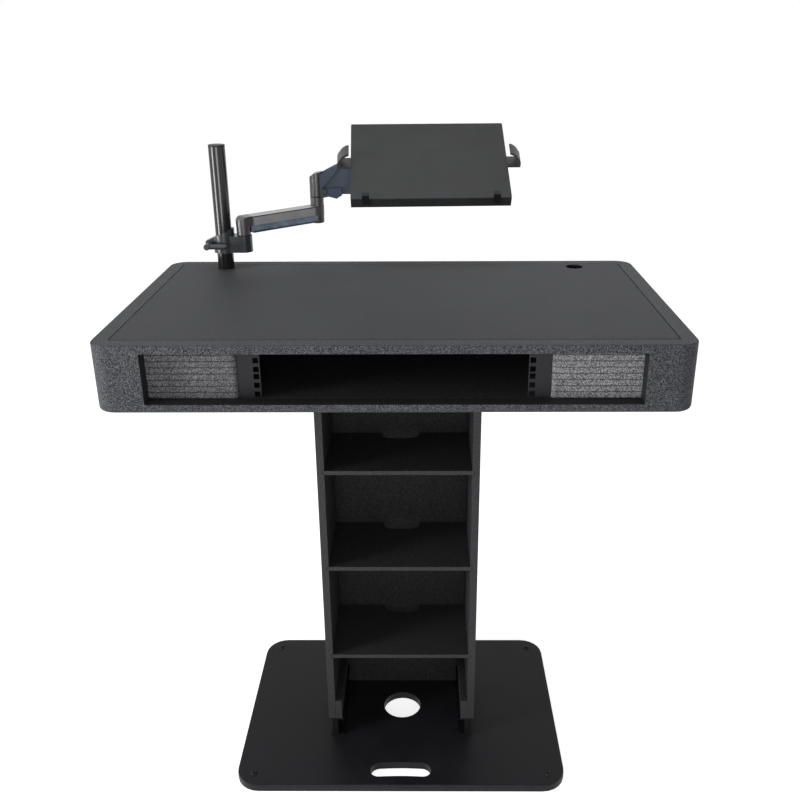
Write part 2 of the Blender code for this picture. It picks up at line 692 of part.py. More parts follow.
def make_console():
    width = TABLE_WIDTH
    depth = TABLE_DEPTH
    levels = []
    for i in range(5):
        angle = math.pi / 2 * i / 4
        inset = RING_BOTTOM_ROUND * (1 - math.sin(angle))
        z = TABLE_BOTTOM + RING_BOTTOM_ROUND * (1 - math.cos(angle))
        levels.append((z, rounded(width - 2 * inset, depth - 2 * inset, TABLE_CORNER - inset, steps=6)))
    levels.append((-RING_TOP_BEVEL, rounded(width, depth, TABLE_CORNER, steps=6)))
    inset = RING_TOP_BEVEL
    levels.append((0, rounded(width - 2 * inset, depth - 2 * inset, TABLE_CORNER - inset, steps=6)))
    inner = rounded(2 * INNER_X, 2 * INNER_Y, INNER_CORNER, steps=6)
    mesh = bmesh.new()
    loft(mesh, levels, [[(TABLE_BOTTOM, inner), (0, inner)]])
    ring = thing("table_ring", mesh, WORLD, PAINT_SIDE)
    mouth = bmesh.new()
    box(mouth, -BAY_WIDTH / 2, BAY_WIDTH / 2, -depth / 2 - 0.01, -INNER_Y + 0.01, BAY_BOTTOM, BAY_TOP)
    cut(ring, mouth, WORLD)

    mesh = bmesh.new()
    gap = TOP_GROOVE
    outline = rounded(2 * (INNER_X - gap), 2 * (INNER_Y - gap), INNER_CORNER - gap, steps=6)
    sockets = [circle(SOCKET_DIAMETER / 2, (sx * SOCKET_X, SOCKET_Y), 24) for sx in (-1, 1)]
    prism(mesh, outline, BAY_TOP, 0, holes=sockets)
    thing("top_panel", mesh, WORLD, PAINT_TOP)

    mesh = bmesh.new()
    outline = rounded(2 * (INNER_X - GAP), 2 * (INNER_Y - GAP), INNER_CORNER - GAP, steps=6)
    slot = rounded(CABLE_SLOT_LENGTH, CABLE_SLOT_WIDTH, CABLE_SLOT_WIDTH / 2 - 0.0001, (0, BACK_Y - 0.040))
    holes = [[(z, slot) for z in (TABLE_BOTTOM, BAY_BOTTOM)]]
    for sx in (-1, 1):
        bore = circle(POLE_BOLT[0] + SCREW_GAP, (sx * SOCKET_X, SOCKET_Y))
        holes.append([(z, bore) for z in (TABLE_BOTTOM, BAY_BOTTOM)])
    holes += [sunk_hole(PANEL_SCREW, place, BAY_BOTTOM, TABLE_BOTTOM) for place in panel_screw_places()]
    holes += [sunk_hole(PANEL_SCREW, place, TABLE_BOTTOM, BAY_BOTTOM) for place in block_screw_places()]
    loft(mesh, [(TABLE_BOTTOM, outline), (BAY_BOTTOM, outline)], holes)
    thing("bottom_panel", mesh, WORLD, PAINT_BLACK)


def make_blocks():
    low = BAY_BOTTOM + GAP
    high = BAY_TOP - GAP
    layer = (high - low) / BLOCK_LAYERS
    outer = INNER_X - GAP
    near = -INNER_Y + GAP
    far = INNER_Y - GAP

    def outline(inset, sign):
        corner = BLOCK_CORNER
        x0 = BLOCK_INNER_X + inset
        points = arc((outer - INNER_CORNER, near + INNER_CORNER), INNER_CORNER - inset, -math.pi / 2, 0, 3)
        points += arc((outer - INNER_CORNER, far - INNER_CORNER), INNER_CORNER - inset, 0, math.pi / 2, 3)
        points += [(x0, far - inset)]
        points += arc((BLOCK_INNER_X + corner, near + corner), corner - inset, math.pi, 1.5 * math.pi, 3)
        return points if sign > 0 else mirrored(points)

    for side, sign in each_side():
        levels = []
        for i in range(BLOCK_LAYERS):
            z0 = low + i * layer
            if i:
                levels.append((z0, outline(BLOCK_GROOVE, sign)))
            levels.append((z0 + (BLOCK_GROOVE if i else 0), outline(0, sign)))
            last = i == BLOCK_LAYERS - 1
            levels.append((z0 + layer - (0 if last else BLOCK_GROOVE), outline(0, sign)))
        bore = circle(SOCKET_DIAMETER / 2, (sign * SOCKET_X, SOCKET_Y), 24)
        mesh = bmesh.new()
        loft(mesh, levels, [[(low, bore), (high, bore)]])
        block = thing(f"block_{side}", mesh, WORLD, PAINT_SIDE)
        holes = bmesh.new()
        radius = PANEL_SCREW[0] + SCREW_GAP
        for x, y in block_screw_places():
            if x * sign > 0:
                end = TABLE_BOTTOM + PANEL_SCREW_BITE + 0.001
                turned(holes, [(low - 0.002, radius), (end, radius)], (x, y), sides=10)
        radius = WOOD_SCREW + SCREW_GAP
        for place in rack_screw_places():
            a = sign * (BLOCK_INNER_X - 0.002)
            b = sign * (BLOCK_INNER_X + WOOD_SCREW_BITE)
            turned(holes, [(min(a, b), radius), (max(a, b), radius)], place, "X", 10)
        cut(block, holes, WORLD)


def make_rack_rails():
    front = -TABLE_DEPTH / 2 + RAIL_SETBACK
    side_out = BLOCK_INNER_X - GAP
    low = BAY_BOTTOM + GAP
    high = BAY_TOP - GAP
    for side, sign in each_side():
        points = [
            (RACK_CLEAR_X, front), (side_out, front), (side_out, front + RAIL_FLANGE),
            (side_out - RAIL_SHEET, front + RAIL_FLANGE), (side_out - RAIL_SHEET, front + RAIL_SHEET),
            (RACK_CLEAR_X, front + RAIL_SHEET),
        ]
        mesh = bmesh.new()
        prism(mesh, points if sign > 0 else mirrored(points), low, high)
        rail = thing(f"rack_rail_{side}", mesh, WORLD, STEEL_BLACK)
        holes = bmesh.new()
        half = RACK_HOLE_SIDE / 2
        for unit in range(RACK_UNITS):
            for step in RACK_HOLE_STEPS:
                x = sign * RACK_HOLE_X
                z = (BAY_BOTTOM + BAY_TOP) / 2 + (unit - RACK_UNITS / 2) * RACK_UNIT + step
                box(holes, x - half, x + half, front - 0.003, front + 0.005, z - half, z + half)
        radius = WOOD_SCREW + SCREW_GAP
        for place in rack_screw_places():
            a = sign * (side_out - 0.005)
            b = sign * (side_out + 0.002)
            turned(holes, [(min(a, b), radius), (max(a, b), radius)], place, "X", 10)
        cut(rail, holes, WORLD)


def make_pole():
    bore = POLE_RADIUS - POLE_WALL
    mesh = bmesh.new()
    turned(mesh, [(POLE_FOOT, POLE_RADIUS), (POLE_RISE, POLE_RADIUS)], sides=32, bore=bore)
    thing("pole_tube", mesh, POLE_FRAME, PAINT_BLACK)

    mesh = bmesh.new()
    plug = bore - GAP
    low = POLE_RISE + GAP
    end = low - POLE_CAP_PLUG
    high = low + POLE_CAP_THICK
    profile = [
        (end, plug - EDGE), (end + EDGE, plug), (low, plug), (low, POLE_RADIUS),
        (high - EDGE, POLE_RADIUS), (high, POLE_RADIUS - EDGE),
    ]
    turned(mesh, profile, sides=32)
    thing("pole_cap", mesh, POLE_FRAME, DARK_PLASTIC)

    mesh = bmesh.new()
    bolt_bore = POLE_BOLT[0] + SCREW_GAP
    turned(mesh, [(POLE_FOOT, plug), (POLE_FOOT + POLE_PLUG_LENGTH, plug)], sides=24, bore=bolt_bore)
    thing("pole_plug", mesh, POLE_FRAME, CAST_GREY)

    mesh = bmesh.new()
    high = TABLE_BOTTOM - GAP
    turned(mesh, [(high - WASHER_THICK, WASHER_RADIUS), (high, WASHER_RADIUS)], bore=bolt_bore)
    thing("pole_washer", mesh, POLE_FRAME, ZINC)

    mesh = bmesh.new()
    seat = high - WASHER_THICK - GAP
    shank, head, thick = POLE_BOLT
    tip = POLE_FOOT + POLE_PLUG_LENGTH - POLE_BOLT_END
    profile = [(seat - thick, head - EDGE), (seat - thick + EDGE, head), (seat, head), (seat, shank),
               (tip - EDGE, shank), (tip, shank - EDGE)]
    turned(mesh, profile)
    thing("pole_bolt", mesh, POLE_FRAME, ZINC)


def collar_top(x, _):
    return COLLAR_TOP + COLLAR_TOP_SLOPE * x


def collar_bore():
    mesh = bmesh.new()
    radius = POLE_RADIUS + GAP
    turned(mesh, [(COLLAR_BOTTOM - 0.01, radius), (COLLAR_TOP + 0.05, radius)], sides=32)
    return mesh


def make_clamp():
    """The bolt through the collar's ears and the lever that turns on it."""
    ear_face = COLLAR_SLIT / 2 + EAR_THICK
    shank_end = LEVER_Y + LEVER_HUB - CLAMP_END
    head, thick = CLAMP_HEAD
    mesh = bmesh.new()
    seat = ear_face + GAP
    profile = [(-shank_end, CLAMP_SHANK), (seat, CLAMP_SHANK), (seat, head), (seat + thick, head)]
    turned(mesh, profile, axis="Y")
    thing("clamp_bolt", mesh, CLAMP_FRAME, ZINC)

    near = -ear_face - GAP
    front = -LEVER_Y - LEVER_HUB
    end = LEVER_HUB - EDGE
    mesh = bmesh.new()
    turned(mesh, [(front, end), (front + EDGE, LEVER_HUB), (near - EDGE, LEVER_HUB), (near, end)], axis="Y")
    lever = thing("clamp_lever", mesh, CLAMP_FRAME, PAINT_BLACK)
    handle = bmesh.new()
    bar = [(along, LEVER_RADIUS * share) for along, share in LEVER_BAR]
    turned(handle, bar, (-LEVER_Y, 0), "X", 16)
    join(lever, handle, CLAMP_FRAME, "handle")
    bore = bmesh.new()
    turned(bore, [(-shank_end - 0.001, CLAMP_SHANK + RUNNING_GAP), (0, CLAMP_SHANK + RUNNING_GAP)], axis="Y")
    cut(lever, bore, CLAMP_FRAME, "bore")


def make_collar():
    outer = POLE_RADIUS + GAP + COLLAR_WALL
    mesh = bmesh.new()
    loft(mesh, [(COLLAR_BOTTOM, circle(outer, sides=32)), (collar_top, circle(outer, sides=32))])
    body = thing("collar_body", mesh, POLE_FRAME, PAINT_BLACK)
    boss = bmesh.new()
    end = arc((BOSS_OFFSET, 0), BOSS_RADIUS, -math.pi / 2, math.pi / 2, 20)
    neck = [*end, (BOSS_ROOT, BOSS_RADIUS), (BOSS_ROOT, -BOSS_RADIUS)]
    prism(boss, neck, COLLAR_BOTTOM + BOSS_FOOT, BOSS_TOP)
    join(body, boss, POLE_FRAME, "boss")
    ears = bmesh.new()
    width = COLLAR_SLIT / 2 + EAR_THICK
    corner = EAR_CORNER
    outline = [
        (-BOSS_ROOT, -width), (-BOSS_ROOT, width), (corner - EAR_REACH, width),
        (-EAR_REACH, width - corner), (-EAR_REACH, corner - width), (corner - EAR_REACH, -width),
    ]
    loft(ears, [(EAR_BOTTOM, outline), (lambda x, y: collar_top(x, y) - EAR_DROP, outline)])
    join(body, ears, POLE_FRAME, "ears")
    cut(body, collar_bore(), POLE_FRAME, "bore")
    slit = bmesh.new()
    half = COLLAR_SLIT / 2
    box(slit, -EAR_REACH - 0.01, -POLE_RADIUS + 0.004, -half, half, COLLAR_BOTTOM - 0.01, COLLAR_TOP + 0.02)
    cut(body, slit, POLE_FRAME, "slit")
    bolt_bore = bmesh.new()
    turned(bolt_bore, [(-0.02, CLAMP_SHANK + GAP), (0.02, CLAMP_SHANK + GAP)], (-LEVER_X, LEVER_Z), "Y")
    cut(body, bolt_bore, POLE_FRAME, "bolt_bore")
    pin_floor = COLLAR_BOTTOM + BOSS_PIN_FLOOR
    pin_bore = bmesh.new()
    turned(pin_bore, [(pin_floor, PIN_RADIUS + GAP), (BOSS_TOP + 0.01, PIN_RADIUS + GAP)], (BOSS_OFFSET, 0))
    cut(body, pin_bore, POLE_FRAME, "pin_bore")

    mesh = bmesh.new()
    place = (BOSS_OFFSET, 0)
    top = ARM_TOP - BOSS_PIN_DEPTH
    turned(mesh, [(pin_floor + GAP, PIN_RADIUS), (top - EDGE, PIN_RADIUS), (top, PIN_RADIUS - EDGE)], place)
    thing("boss_pin", mesh, POLE_FRAME, ZINC)

    mesh = bmesh.new()
    radius = ARM_WASHER_RADIUS
    turned(mesh, [(BOSS_TOP + GAP, radius), (ARM_BOTTOM - GAP, radius)], place, bore=PIN_RADIUS + GAP)
    thing("arm_washer", mesh, POLE_FRAME, DARK_PLASTIC)


def make_lower_arm():
    end = (ARM_LENGTH, 0)
    reach = BARREL_RADIUS + BEAM_PROUD
    mesh = bmesh.new()
    near = arc((0, 0), reach, math.pi / 2, 1.5 * math.pi, 14)
    far = arc(end, reach, -math.pi / 2, math.pi / 2, 14)
    prism(mesh, near + far, CHANNEL_TOP + GAP, ARM_TOP)
    arm = thing("lower_arm", mesh, ARM_FRAME, CAST_GREY)
    barrels = bmesh.new()
    turned(barrels, [(ARM_BOTTOM, BARREL_RADIUS), (ARM_TOP - BEAM_NOSE[1] - 0.002, BARREL_RADIUS)], sides=24)
    turned(barrels, [(ELBOW_BARREL_BOTTOM, BARREL_RADIUS), (ELBOW_BARREL_TOP, BARREL_RADIUS)], end, sides=24)
    join(arm, barrels, ARM_FRAME, "barrels")
    nose = bmesh.new()
    length, drop = BEAM_NOSE
    high = ARM_TOP + 0.01
    tip = -reach - 0.001
    root = length - reach
    wedge = [(tip, high), (tip, ARM_TOP - drop), (root, ARM_TOP + 0.0001), (root, high)]
    prism(nose, wedge, -reach - 0.005, reach + 0.005, "Y")
    cut(arm, nose, ARM_FRAME, "nose")
    bores = bmesh.new()
    radius = PIN_RADIUS + RUNNING_GAP
    turned(bores, [(ARM_BOTTOM - 0.01, radius), (ARM_TOP - BOSS_PIN_DEPTH + 0.001, radius)])
    turned(bores, [(ELBOW_BARREL_BOTTOM - 0.01, radius), (ELBOW_BARREL_TOP + 0.01, radius)], end)
    cut(arm, bores, ARM_FRAME, "bores")

    mesh = bmesh.new()
    half = reach - CHANNEL_INSET
    inner = half - CHANNEL_WALL
    floor = CHANNEL_BOTTOM + CHANNEL_WALL
    edge = CHANNEL_EDGE
    profile = [
        (-half, CHANNEL_BOTTOM + edge), (-half + edge, CHANNEL_BOTTOM), (half - edge, CHANNEL_BOTTOM),
        (half, CHANNEL_BOTTOM + edge), (half, CHANNEL_TOP), (inner, CHANNEL_TOP), (inner, floor),
        (-inner, floor), (-inner, CHANNEL_TOP), (-half, CHANNEL_TOP),
    ]
    setback = BARREL_RADIUS * 0.7
    prism(mesh, profile, setback, ARM_LENGTH - setback, "X")
    channel = thing("cable_channel", mesh, ARM_FRAME, BLUE_GREY)
    ends = bmesh.new()
    radius = BARREL_RADIUS + GAP
    for place in ((0, 0), end):
        turned(ends, [(CHANNEL_BOTTOM - 0.01, radius), (CHANNEL_TOP + 0.01, radius)], place, sides=24)
    cut(channel, ends, ARM_FRAME, "ends")

    mesh = bmesh.new()
    high = ELBOW_BARREL_BOTTOM - GAP
    radius = ELBOW_CAP_RADIUS
    low = high - ELBOW_CAP_THICK
    turned(mesh, [(low, radius - EDGE), (low + EDGE, radius), (high, radius)], end, sides=24)
    thing("elbow_cap", mesh, ARM_FRAME, DARK_PLASTIC)


def link_lugs(x0, x1, z, bore_z):
    """Two ears with a round end that hold one end of the inner link."""
    mesh = bmesh.new()
    end = arc((x1, z), EAR_RADIUS, -math.pi / 2, math.pi / 2, 10)
    outline = [(x0, z - EAR_RADIUS), *end, (x0, z + EAR_RADIUS)]
    inner = LINK_WIDTH / 2 + GAP
    for sign in (-1, 1):
        a = sign * inner
        b = sign * (inner + LINK_LUG)
        prism(mesh, outline, min(a, b), max(a, b), "Y", [circle(LINK_PIN + GAP, (x1, bore_z), 16)])
    return mesh


def make_elbow():
    mesh = bmesh.new()
    low = ELBOW_BARREL_TOP + GAP
    turned(mesh, [(low, BARREL_RADIUS), (ELBOW_WASHER_TOP, BARREL_RADIUS)], sides=24, bore=PIN_RADIUS + GAP)
    thing("elbow_washer", mesh, ELBOW_FRAME, DARK_PLASTIC)

    mesh = bmesh.new()
    pin_low = ELBOW_BARREL_BOTTOM + GAP
    pin_high = ELBOW_WASHER_TOP + ELBOW_PIN_RISE
    turned(mesh, [(pin_low, PIN_RADIUS), (pin_high, PIN_RADIUS)])
    thing("elbow_pin", mesh, ELBOW_FRAME, ZINC)

    bottom = ELBOW_WASHER_TOP + GAP
    post = circle(BARREL_RADIUS, sides=24)
    mesh = bmesh.new()
    loft(mesh, [(bottom, post), (lambda x, y: POST_TOPS[0] + POST_TOP_SLOPES[0] * x, post)])
    casting = thing("elbow_casting", mesh, ELBOW_FRAME, CAST_GREY)
    brow = bmesh.new()
    reach = BARREL_RADIUS + 0.004
    line = [(x, POST_TOPS[1] + POST_TOP_SLOPES[1] * x) for x in (-reach, reach)]
    prism(brow, [*line, (reach, POST_TOPS[1] + 0.05), (-reach, POST_TOPS[1] + 0.05)], -reach, reach, "Y")
    cut(casting, brow, ELBOW_FRAME, "brow")
    web = bmesh.new()
    reach = FORK_INNER + FORK_PLATE - 0.0005
    box(web, *FORK_WEB, -reach, reach, bottom + 0.0006, KNUCKLE[-1][1] - 0.0015)
    join(casting, web, ELBOW_FRAME, "web")
    plates = bmesh.new()
    outline = [(max(x, FORK_LEFT), z) for x, z in KNUCKLE]
    bore = circle(LIFT_PIN + GAP, (LIFT_X, LIFT_Z), 16)
    for sign in (-1, 1):
        a = sign * FORK_INNER
        b = sign * (FORK_INNER + FORK_PLATE)
        prism(plates, outline, min(a, b), max(a, b), "Y", [bore])
    join(casting, plates, ELBOW_FRAME, "plates")
    z = LIFT_Z + LINK_DZ
    join(casting, link_lugs(0.008, LIFT_X + LINK_DX, z, z), ELBOW_FRAME, "lugs")
    pin_bore = bmesh.new()
    turned(pin_bore, [(bottom - 0.01, PIN_RADIUS + GAP), (pin_high + 0.001, PIN_RADIUS + GAP)])
    cut(casting, pin_bore, ELBOW_FRAME, "pin_bore")

    inner = FORK_INNER + FORK_PLATE + GAP
    for name, sign in (("knuckle_cover_front", -1), ("knuckle_cover_rear", 1)):
        mesh = bmesh.new()
        a = sign * inner
        b = sign * (inner + COVER_PLATE)
        prism(mesh, KNUCKLE, min(a, b), max(a, b), "Y", [bore])
        thing(name, mesh, ELBOW_FRAME, BLUE_GREY)

    mesh = bmesh.new()
    face = inner + COVER_PLATE + GAP
    end = face + LIFT_BOLT_HEAD_THICK
    head = LIFT_BOLT_HEAD
    profile = [
        (-end, head - EDGE), (-end + EDGE, head), (-face, head), (-face, LIFT_PIN), (face, LIFT_PIN),
        (face, head), (end, head),
    ]
    turned(mesh, profile, (LIFT_X, LIFT_Z), "Y", 16)
    thing("pivot_bolt", mesh, ELBOW_FRAME, DARK_PLASTIC)

    mesh = bmesh.new()
    reach = LINK_WIDTH / 2 + GAP + LINK_LUG - 0.0002
    turned(mesh, [(-reach, LINK_PIN), (reach, LINK_PIN)], (LIFT_X + LINK_DX, z), "Y", 16)
    thing("link_pin_elbow", mesh, ELBOW_FRAME, ZINC)


def shell_top(x):
    share = (x - SHELL_WEB_X) / (LIFT_LENGTH - SHELL_WEB_X)
    return SHELL_TOP + (SHELL_TOP_END - SHELL_TOP) * share


def make_upper_arm():
    right = LIFT_LENGTH + EAR_RADIUS
    tangent = arc((0, 0), EAR_RADIUS, SHELL_RISE + math.pi / 2, 1.5 * math.pi, 8)
    start = tangent[0]
    shoulder = start[0] + (SHELL_TOP - start[1]) / math.tan(SHELL_RISE)
    outline = [
        *tangent,
        *arc((LIFT_LENGTH, 0), EAR_RADIUS, -math.pi / 2, 0, 5),
        (right, SHELL_TOP_END - SHELL_END_DROP),
        (right - EAR_RADIUS, shell_top(right - EAR_RADIUS)),
        (SHELL_WEB_X, SHELL_TOP),
        (shoulder, SHELL_TOP),
    ]
    bores = [circle(LIFT_PIN + RUNNING_GAP, (x, 0), 16) for x in (0, LIFT_LENGTH)]
    mesh = bmesh.new()
    prism(mesh, outline, -SHELL_WIDTH / 2, SHELL_WIDTH / 2, "Y", bores)
    shell = thing("arm_shell", mesh, LIFT_FRAME, BLUE_GREY)
    hollow = bmesh.new()
    inside = SHELL_WIDTH / 2 - SHELL_WALL
    x0 = -0.02
    x1 = right + 0.02
    web = SHELL_WEB_X
    under = [(x0, -0.03), (x1, -0.03), (x1, shell_top(x1) - SHELL_WALL), (web, SHELL_TOP - SHELL_WALL),
             (web, SHELL_TOP + 0.01), (x0, SHELL_TOP + 0.01)]
    prism(hollow, under, -inside, inside, "Y")
    cut(shell, hollow, LIFT_FRAME, "hollow")

    mesh = bmesh.new()
    reach = SHELL_WIDTH / 2 + 0.001
    turned(mesh, [(-reach, LIFT_PIN), (reach, LIFT_PIN)], (LIFT_LENGTH, 0), "Y", 16)
    thing("head_pin", mesh, LIFT_FRAME, ZINC)

    mesh = bmesh.new()
    half = LINK_HEIGHT / 2
    bend = math.asin(half / EAR_RADIUS)
    outline = [
        *arc((0, 0), EAR_RADIUS, bend, 2 * math.pi - bend, 14),
        *arc((LIFT_LENGTH, 0), EAR_RADIUS, math.pi + bend, 3 * math.pi - bend, 14),
    ]
    bores = [
        circle(LINK_PIN + RUNNING_GAP, sides=10),
        circle(LINK_PIN + LINK_OPEN_GAP, (LIFT_LENGTH, 0), 16),
    ]
    prism(mesh, outline, -LINK_WIDTH / 2, LINK_WIDTH / 2, "Y", bores)
    thing("link_bar", mesh, LINK_FRAME, STEEL_BLACK)


def make_head():
    mesh = bmesh.new()
    turned(mesh, [(HUB_BOTTOM, HUB_RADIUS), (HUB_TOP, HUB_RADIUS)], (HUB_X, 0), sides=24)
    head = thing("head_block", mesh, HEAD_FRAME, BLUE_GREY)
    low = HUB_BOTTOM + HEAD_STEP[0]
    high = HUB_TOP - HEAD_STEP[1]
    outline = [
        *arc((0, 0), TONGUE_RADIUS, math.pi, 1.5 * math.pi, 6),
        (HUB_X - HEAD_WAIST, low), (HUB_X, low), (HUB_X, high), (LINK_DX + EAR_RADIUS + 0.0005, high),
        *arc((LINK_DX, LINK_DZ), EAR_RADIUS, 0, math.pi, 8),
    ]
    tongue = bmesh.new()
    prism(tongue, outline, -TONGUE_WIDTH / 2, TONGUE_WIDTH / 2, "Y")
    join(head, tongue, HEAD_FRAME, "tongue")
    slot = bmesh.new()
    half = LINK_WIDTH / 2 + GAP
    box(slot, -0.030, LINK_DX + EAR_RADIUS + 0.001, -half, half, TONGUE_RADIUS + 0.001, LINK_DZ + 0.030)
    cut(head, slot, HEAD_FRAME, "slot")
    bores = bmesh.new()
    reach = TONGUE_WIDTH
    turned(bores, [(-reach, LIFT_PIN + RUNNING_GAP), (reach, LIFT_PIN + RUNNING_GAP)], axis="Y", sides=10)
    turned(bores, [(-reach, LINK_PIN + GAP), (reach, LINK_PIN + GAP)], (LINK_DX, LINK_DZ), "Y", 16)
    pin_floor = YOKE_DISC_TOP - YOKE_PIN_ROOT - YOKE_PIN_LENGTH - 0.001
    radius = YOKE_PIN + RUNNING_GAP
    turned(bores, [(pin_floor, radius), (HUB_TOP + 0.01, radius)], (HUB_X, 0))
    cut(head, bores, HEAD_FRAME, "bores")

    mesh = bmesh.new()
    reach = TONGUE_WIDTH / 2 - 0.0002
    turned(mesh, [(-reach, LINK_PIN), (reach, LINK_PIN)], (LINK_DX, LINK_DZ), "Y", 16)
    thing("link_pin_head", mesh, HEAD_FRAME, ZINC)


def make_yoke():
    disc_bottom = HUB_TOP + GAP
    mesh = bmesh.new()
    stem_low = YOKE_DISC_TOP - YOKE_PIN_ROOT - YOKE_PIN_LENGTH
    turned(mesh, [(stem_low, YOKE_PIN), (disc_bottom, YOKE_PIN), (disc_bottom, YOKE_DISC_RADIUS),
                  (YOKE_DISC_TOP, YOKE_DISC_RADIUS)], sides=24)
    yoke = thing("yoke", mesh, YOKE_FRAME, STEEL_BLACK)
    ears = bmesh.new()
    r = YOKE_EAR_RADIUS
    outline = [(-r, YOKE_DISC_TOP - 0.002), (r, YOKE_DISC_TOP - 0.002), *arc((0, TILT_Z), r, 0, math.pi, 10)]
    for sign in (-1, 1):
        a = sign * EAR_INNER
        b = sign * EAR_OUTER
        prism(ears, outline, min(a, b), max(a, b), "X", [circle(TILT_PIN + GAP, (0, TILT_Z), 16)])
    join(yoke, ears, YOKE_FRAME, "ears")

    face = EAR_OUTER + GAP
    mesh = bmesh.new()
    end = face + TILT_KNOB_LENGTH - TILT_PIN_END
    head, thick = TILT_HEAD
    profile = [(-face - thick, head), (-face, head), (-face, TILT_PIN), (end, TILT_PIN)]
    turned(mesh, profile, (0, TILT_Z), "X", 10)
    thing("tilt_pin", mesh, YOKE_FRAME, ZINC)

    mesh = bmesh.new()
    radius = TILT_KNOB_RADIUS
    top = face + TILT_KNOB_LENGTH
    profile = [(face, circle(radius - EDGE, (0, TILT_Z))), (face + EDGE, circle(radius, (0, TILT_Z))),
               (top - EDGE, circle(radius, (0, TILT_Z))), (top, circle(radius - EDGE, (0, TILT_Z)))]
    bore = circle(TILT_PIN + GAP, (0, TILT_Z))
    loft(mesh, profile, [[(face, bore), (top, bore)]], "X")
    thing("tilt_knob", mesh, YOKE_FRAME, DARK_PLASTIC)


def make_tray():
    plate_low = TRAY_UNDER - GAP - BRACKET_SHEET
    mesh = bmesh.new()
    prism(mesh, rounded(BRACKET_SIDE, BRACKET_SIDE, BRACKET_CORNER), plate_low, plate_low + BRACKET_SHEET)
    bracket = thing("tray_bracket", mesh, TRAY_FRAME, STEEL_BLACK)
    lug = bmesh.new()
    r = YOKE_EAR_RADIUS + 0.0005
    outline = [*arc((0, 0), r, math.pi, 2 * math.pi, 12), (r, plate_low + 0.001), (-r, plate_low + 0.001)]
    reach = EAR_INNER - GAP
    prism(lug, outline, -reach, reach, "X")
    join(bracket, lug, TRAY_FRAME, "lug")
    bore = bmesh.new()
    turned(bore, [(-0.03, TILT_PIN + RUNNING_GAP), (0.03, TILT_PIN + RUNNING_GAP)], axis="X", sides=20)
    cut(bracket, bore, TRAY_FRAME, "bore")

    middle = TRAY_FRONT + TRAY_DEPTH / 2
    outline = rounded(TRAY_WIDTH, TRAY_DEPTH, TRAY_CORNER, (0, middle))
    mesh = bmesh.new()
    prism(mesh, outline, TRAY_UNDER, TRAY_RISE)
    tray = thing("tray_plate", mesh, TRAY_FRAME, STEEL_BLACK)
    lip = bmesh.new()
    lip_half = TRAY_WIDTH / 2 - LIP_INSET
    lip_front = TRAY_FRONT - LIP_PROUD
    prism(lip, rectangle(-lip_half, TRAY_RISE - TRAY_LIP, lip_half, TRAY_RISE - LIP_SINK), lip_front,
          lip_front + TRAY_SHEET, "Y")
    join(tray, lip, TRAY_FRAME, "lip")

    back = lip_front - GAP
    front = back - CLIP_SHEET
    hook = front + CLIP_HOOK
    low = TRAY_RISE + CLIP_BOTTOM
    high = TRAY_RISE + CLIP_TOP
    under = high - CLIP_SHEET
    tip = under - CLIP_SHEET
    profile = [
        (front, low), (back, low), (back, under), (hook - CLIP_SHEET, under), (hook - CLIP_SHEET, tip),
        (hook, tip), (hook, high), (front, high),
    ]
    for side, sign in each_side():
        clip = bmesh.new()
        x0 = sign * CLIP_X - CLIP_WIDTH / 2
        prism(clip, profile, x0, x0 + CLIP_WIDTH, "X")
        thing(f"front_clip_{side}", clip, TRAY_FRAME, STEEL_BLACK)


def make_claws():
    low = TRAY_RISE + CLAW_BAR_TOP - CLAW_BAR_THICK
    high = TRAY_RISE + CLAW_BAR_TOP
    y0 = CLAW_Y - CLAW_DEPTH / 2
    y1 = CLAW_Y + CLAW_DEPTH / 2
    for side, sign in each_side():
        hook = [(CLAW_OUTER - inward, TRAY_RISE + rise) for inward, rise in CLAW_HOOK]
        outline = [(CLAW_BAR_END, low), (CLAW_OUTER, low), *hook, (hook[-1][0], high), (CLAW_BAR_END, high)]
        mesh = bmesh.new()
        prism(mesh, outline if sign > 0 else mirrored(outline), y0, y1, "Y")
        thing(f"claw_{side}", mesh, TRAY_FRAME, STEEL_BLACK)

    hole = rectangle(y0 - GAP, low - GAP, y1 + GAP, high + GAP)
    wall = rectangle(y0 - GAP - GUIDE_WALL, low - GAP - GUIDE_WALL, y1 + GAP + GUIDE_WALL, TRAY_UNDER - GAP)
    floor = low - GAP - GUIDE_WALL
    base = floor - LOCK_KNOB_DROP
    end = base - LOCK_KNOB_LENGTH
    radius = LOCK_KNOB_RADIUS
    knob = [
        (end, radius - EDGE), (end + EDGE, radius), (base, radius), (base, LOCK_SCREW),
        (low - GAP, LOCK_SCREW),
    ]
    for side, sign in each_side():
        ends = (sign * GUIDE_START, sign * GUIDE_END)
        strap = bmesh.new()
        prism(strap, wall, min(ends), max(ends), "X", [hole])
        guide = thing(f"claw_guide_{side}", strap, TRAY_FRAME, DARK_PLASTIC)
        place = (sign * (GUIDE_START + GUIDE_END) / 2, CLAW_Y)
        bore = bmesh.new()
        radius = LOCK_SCREW + SCREW_GAP
        turned(bore, [(floor - 0.002, radius), (floor + GUIDE_WALL + 0.001, radius)], place, sides=10)
        cut(guide, bore, TRAY_FRAME, "bore")
        lock = bmesh.new()
        turned(lock, knob, place)
        thing(f"claw_lock_{side}", lock, TRAY_FRAME, DARK_PLASTIC)


clear_scene()
make_base()
make_column_foot()
make_side_panels()
make_column_inside()
make_console()
make_blocks()
make_rack_rails()
make_pole()
make_collar()
make_clamp()
make_lower_arm()
make_elbow()
make_upper_arm()
make_head()
make_yoke()
make_tray()
make_claws()
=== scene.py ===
"""The DJ podium stand as it looks: finishes, soft edges, screw heads, floor, light and camera."""

import json
import math

import bmesh
import bpy
from mathutils import Matrix, Vector

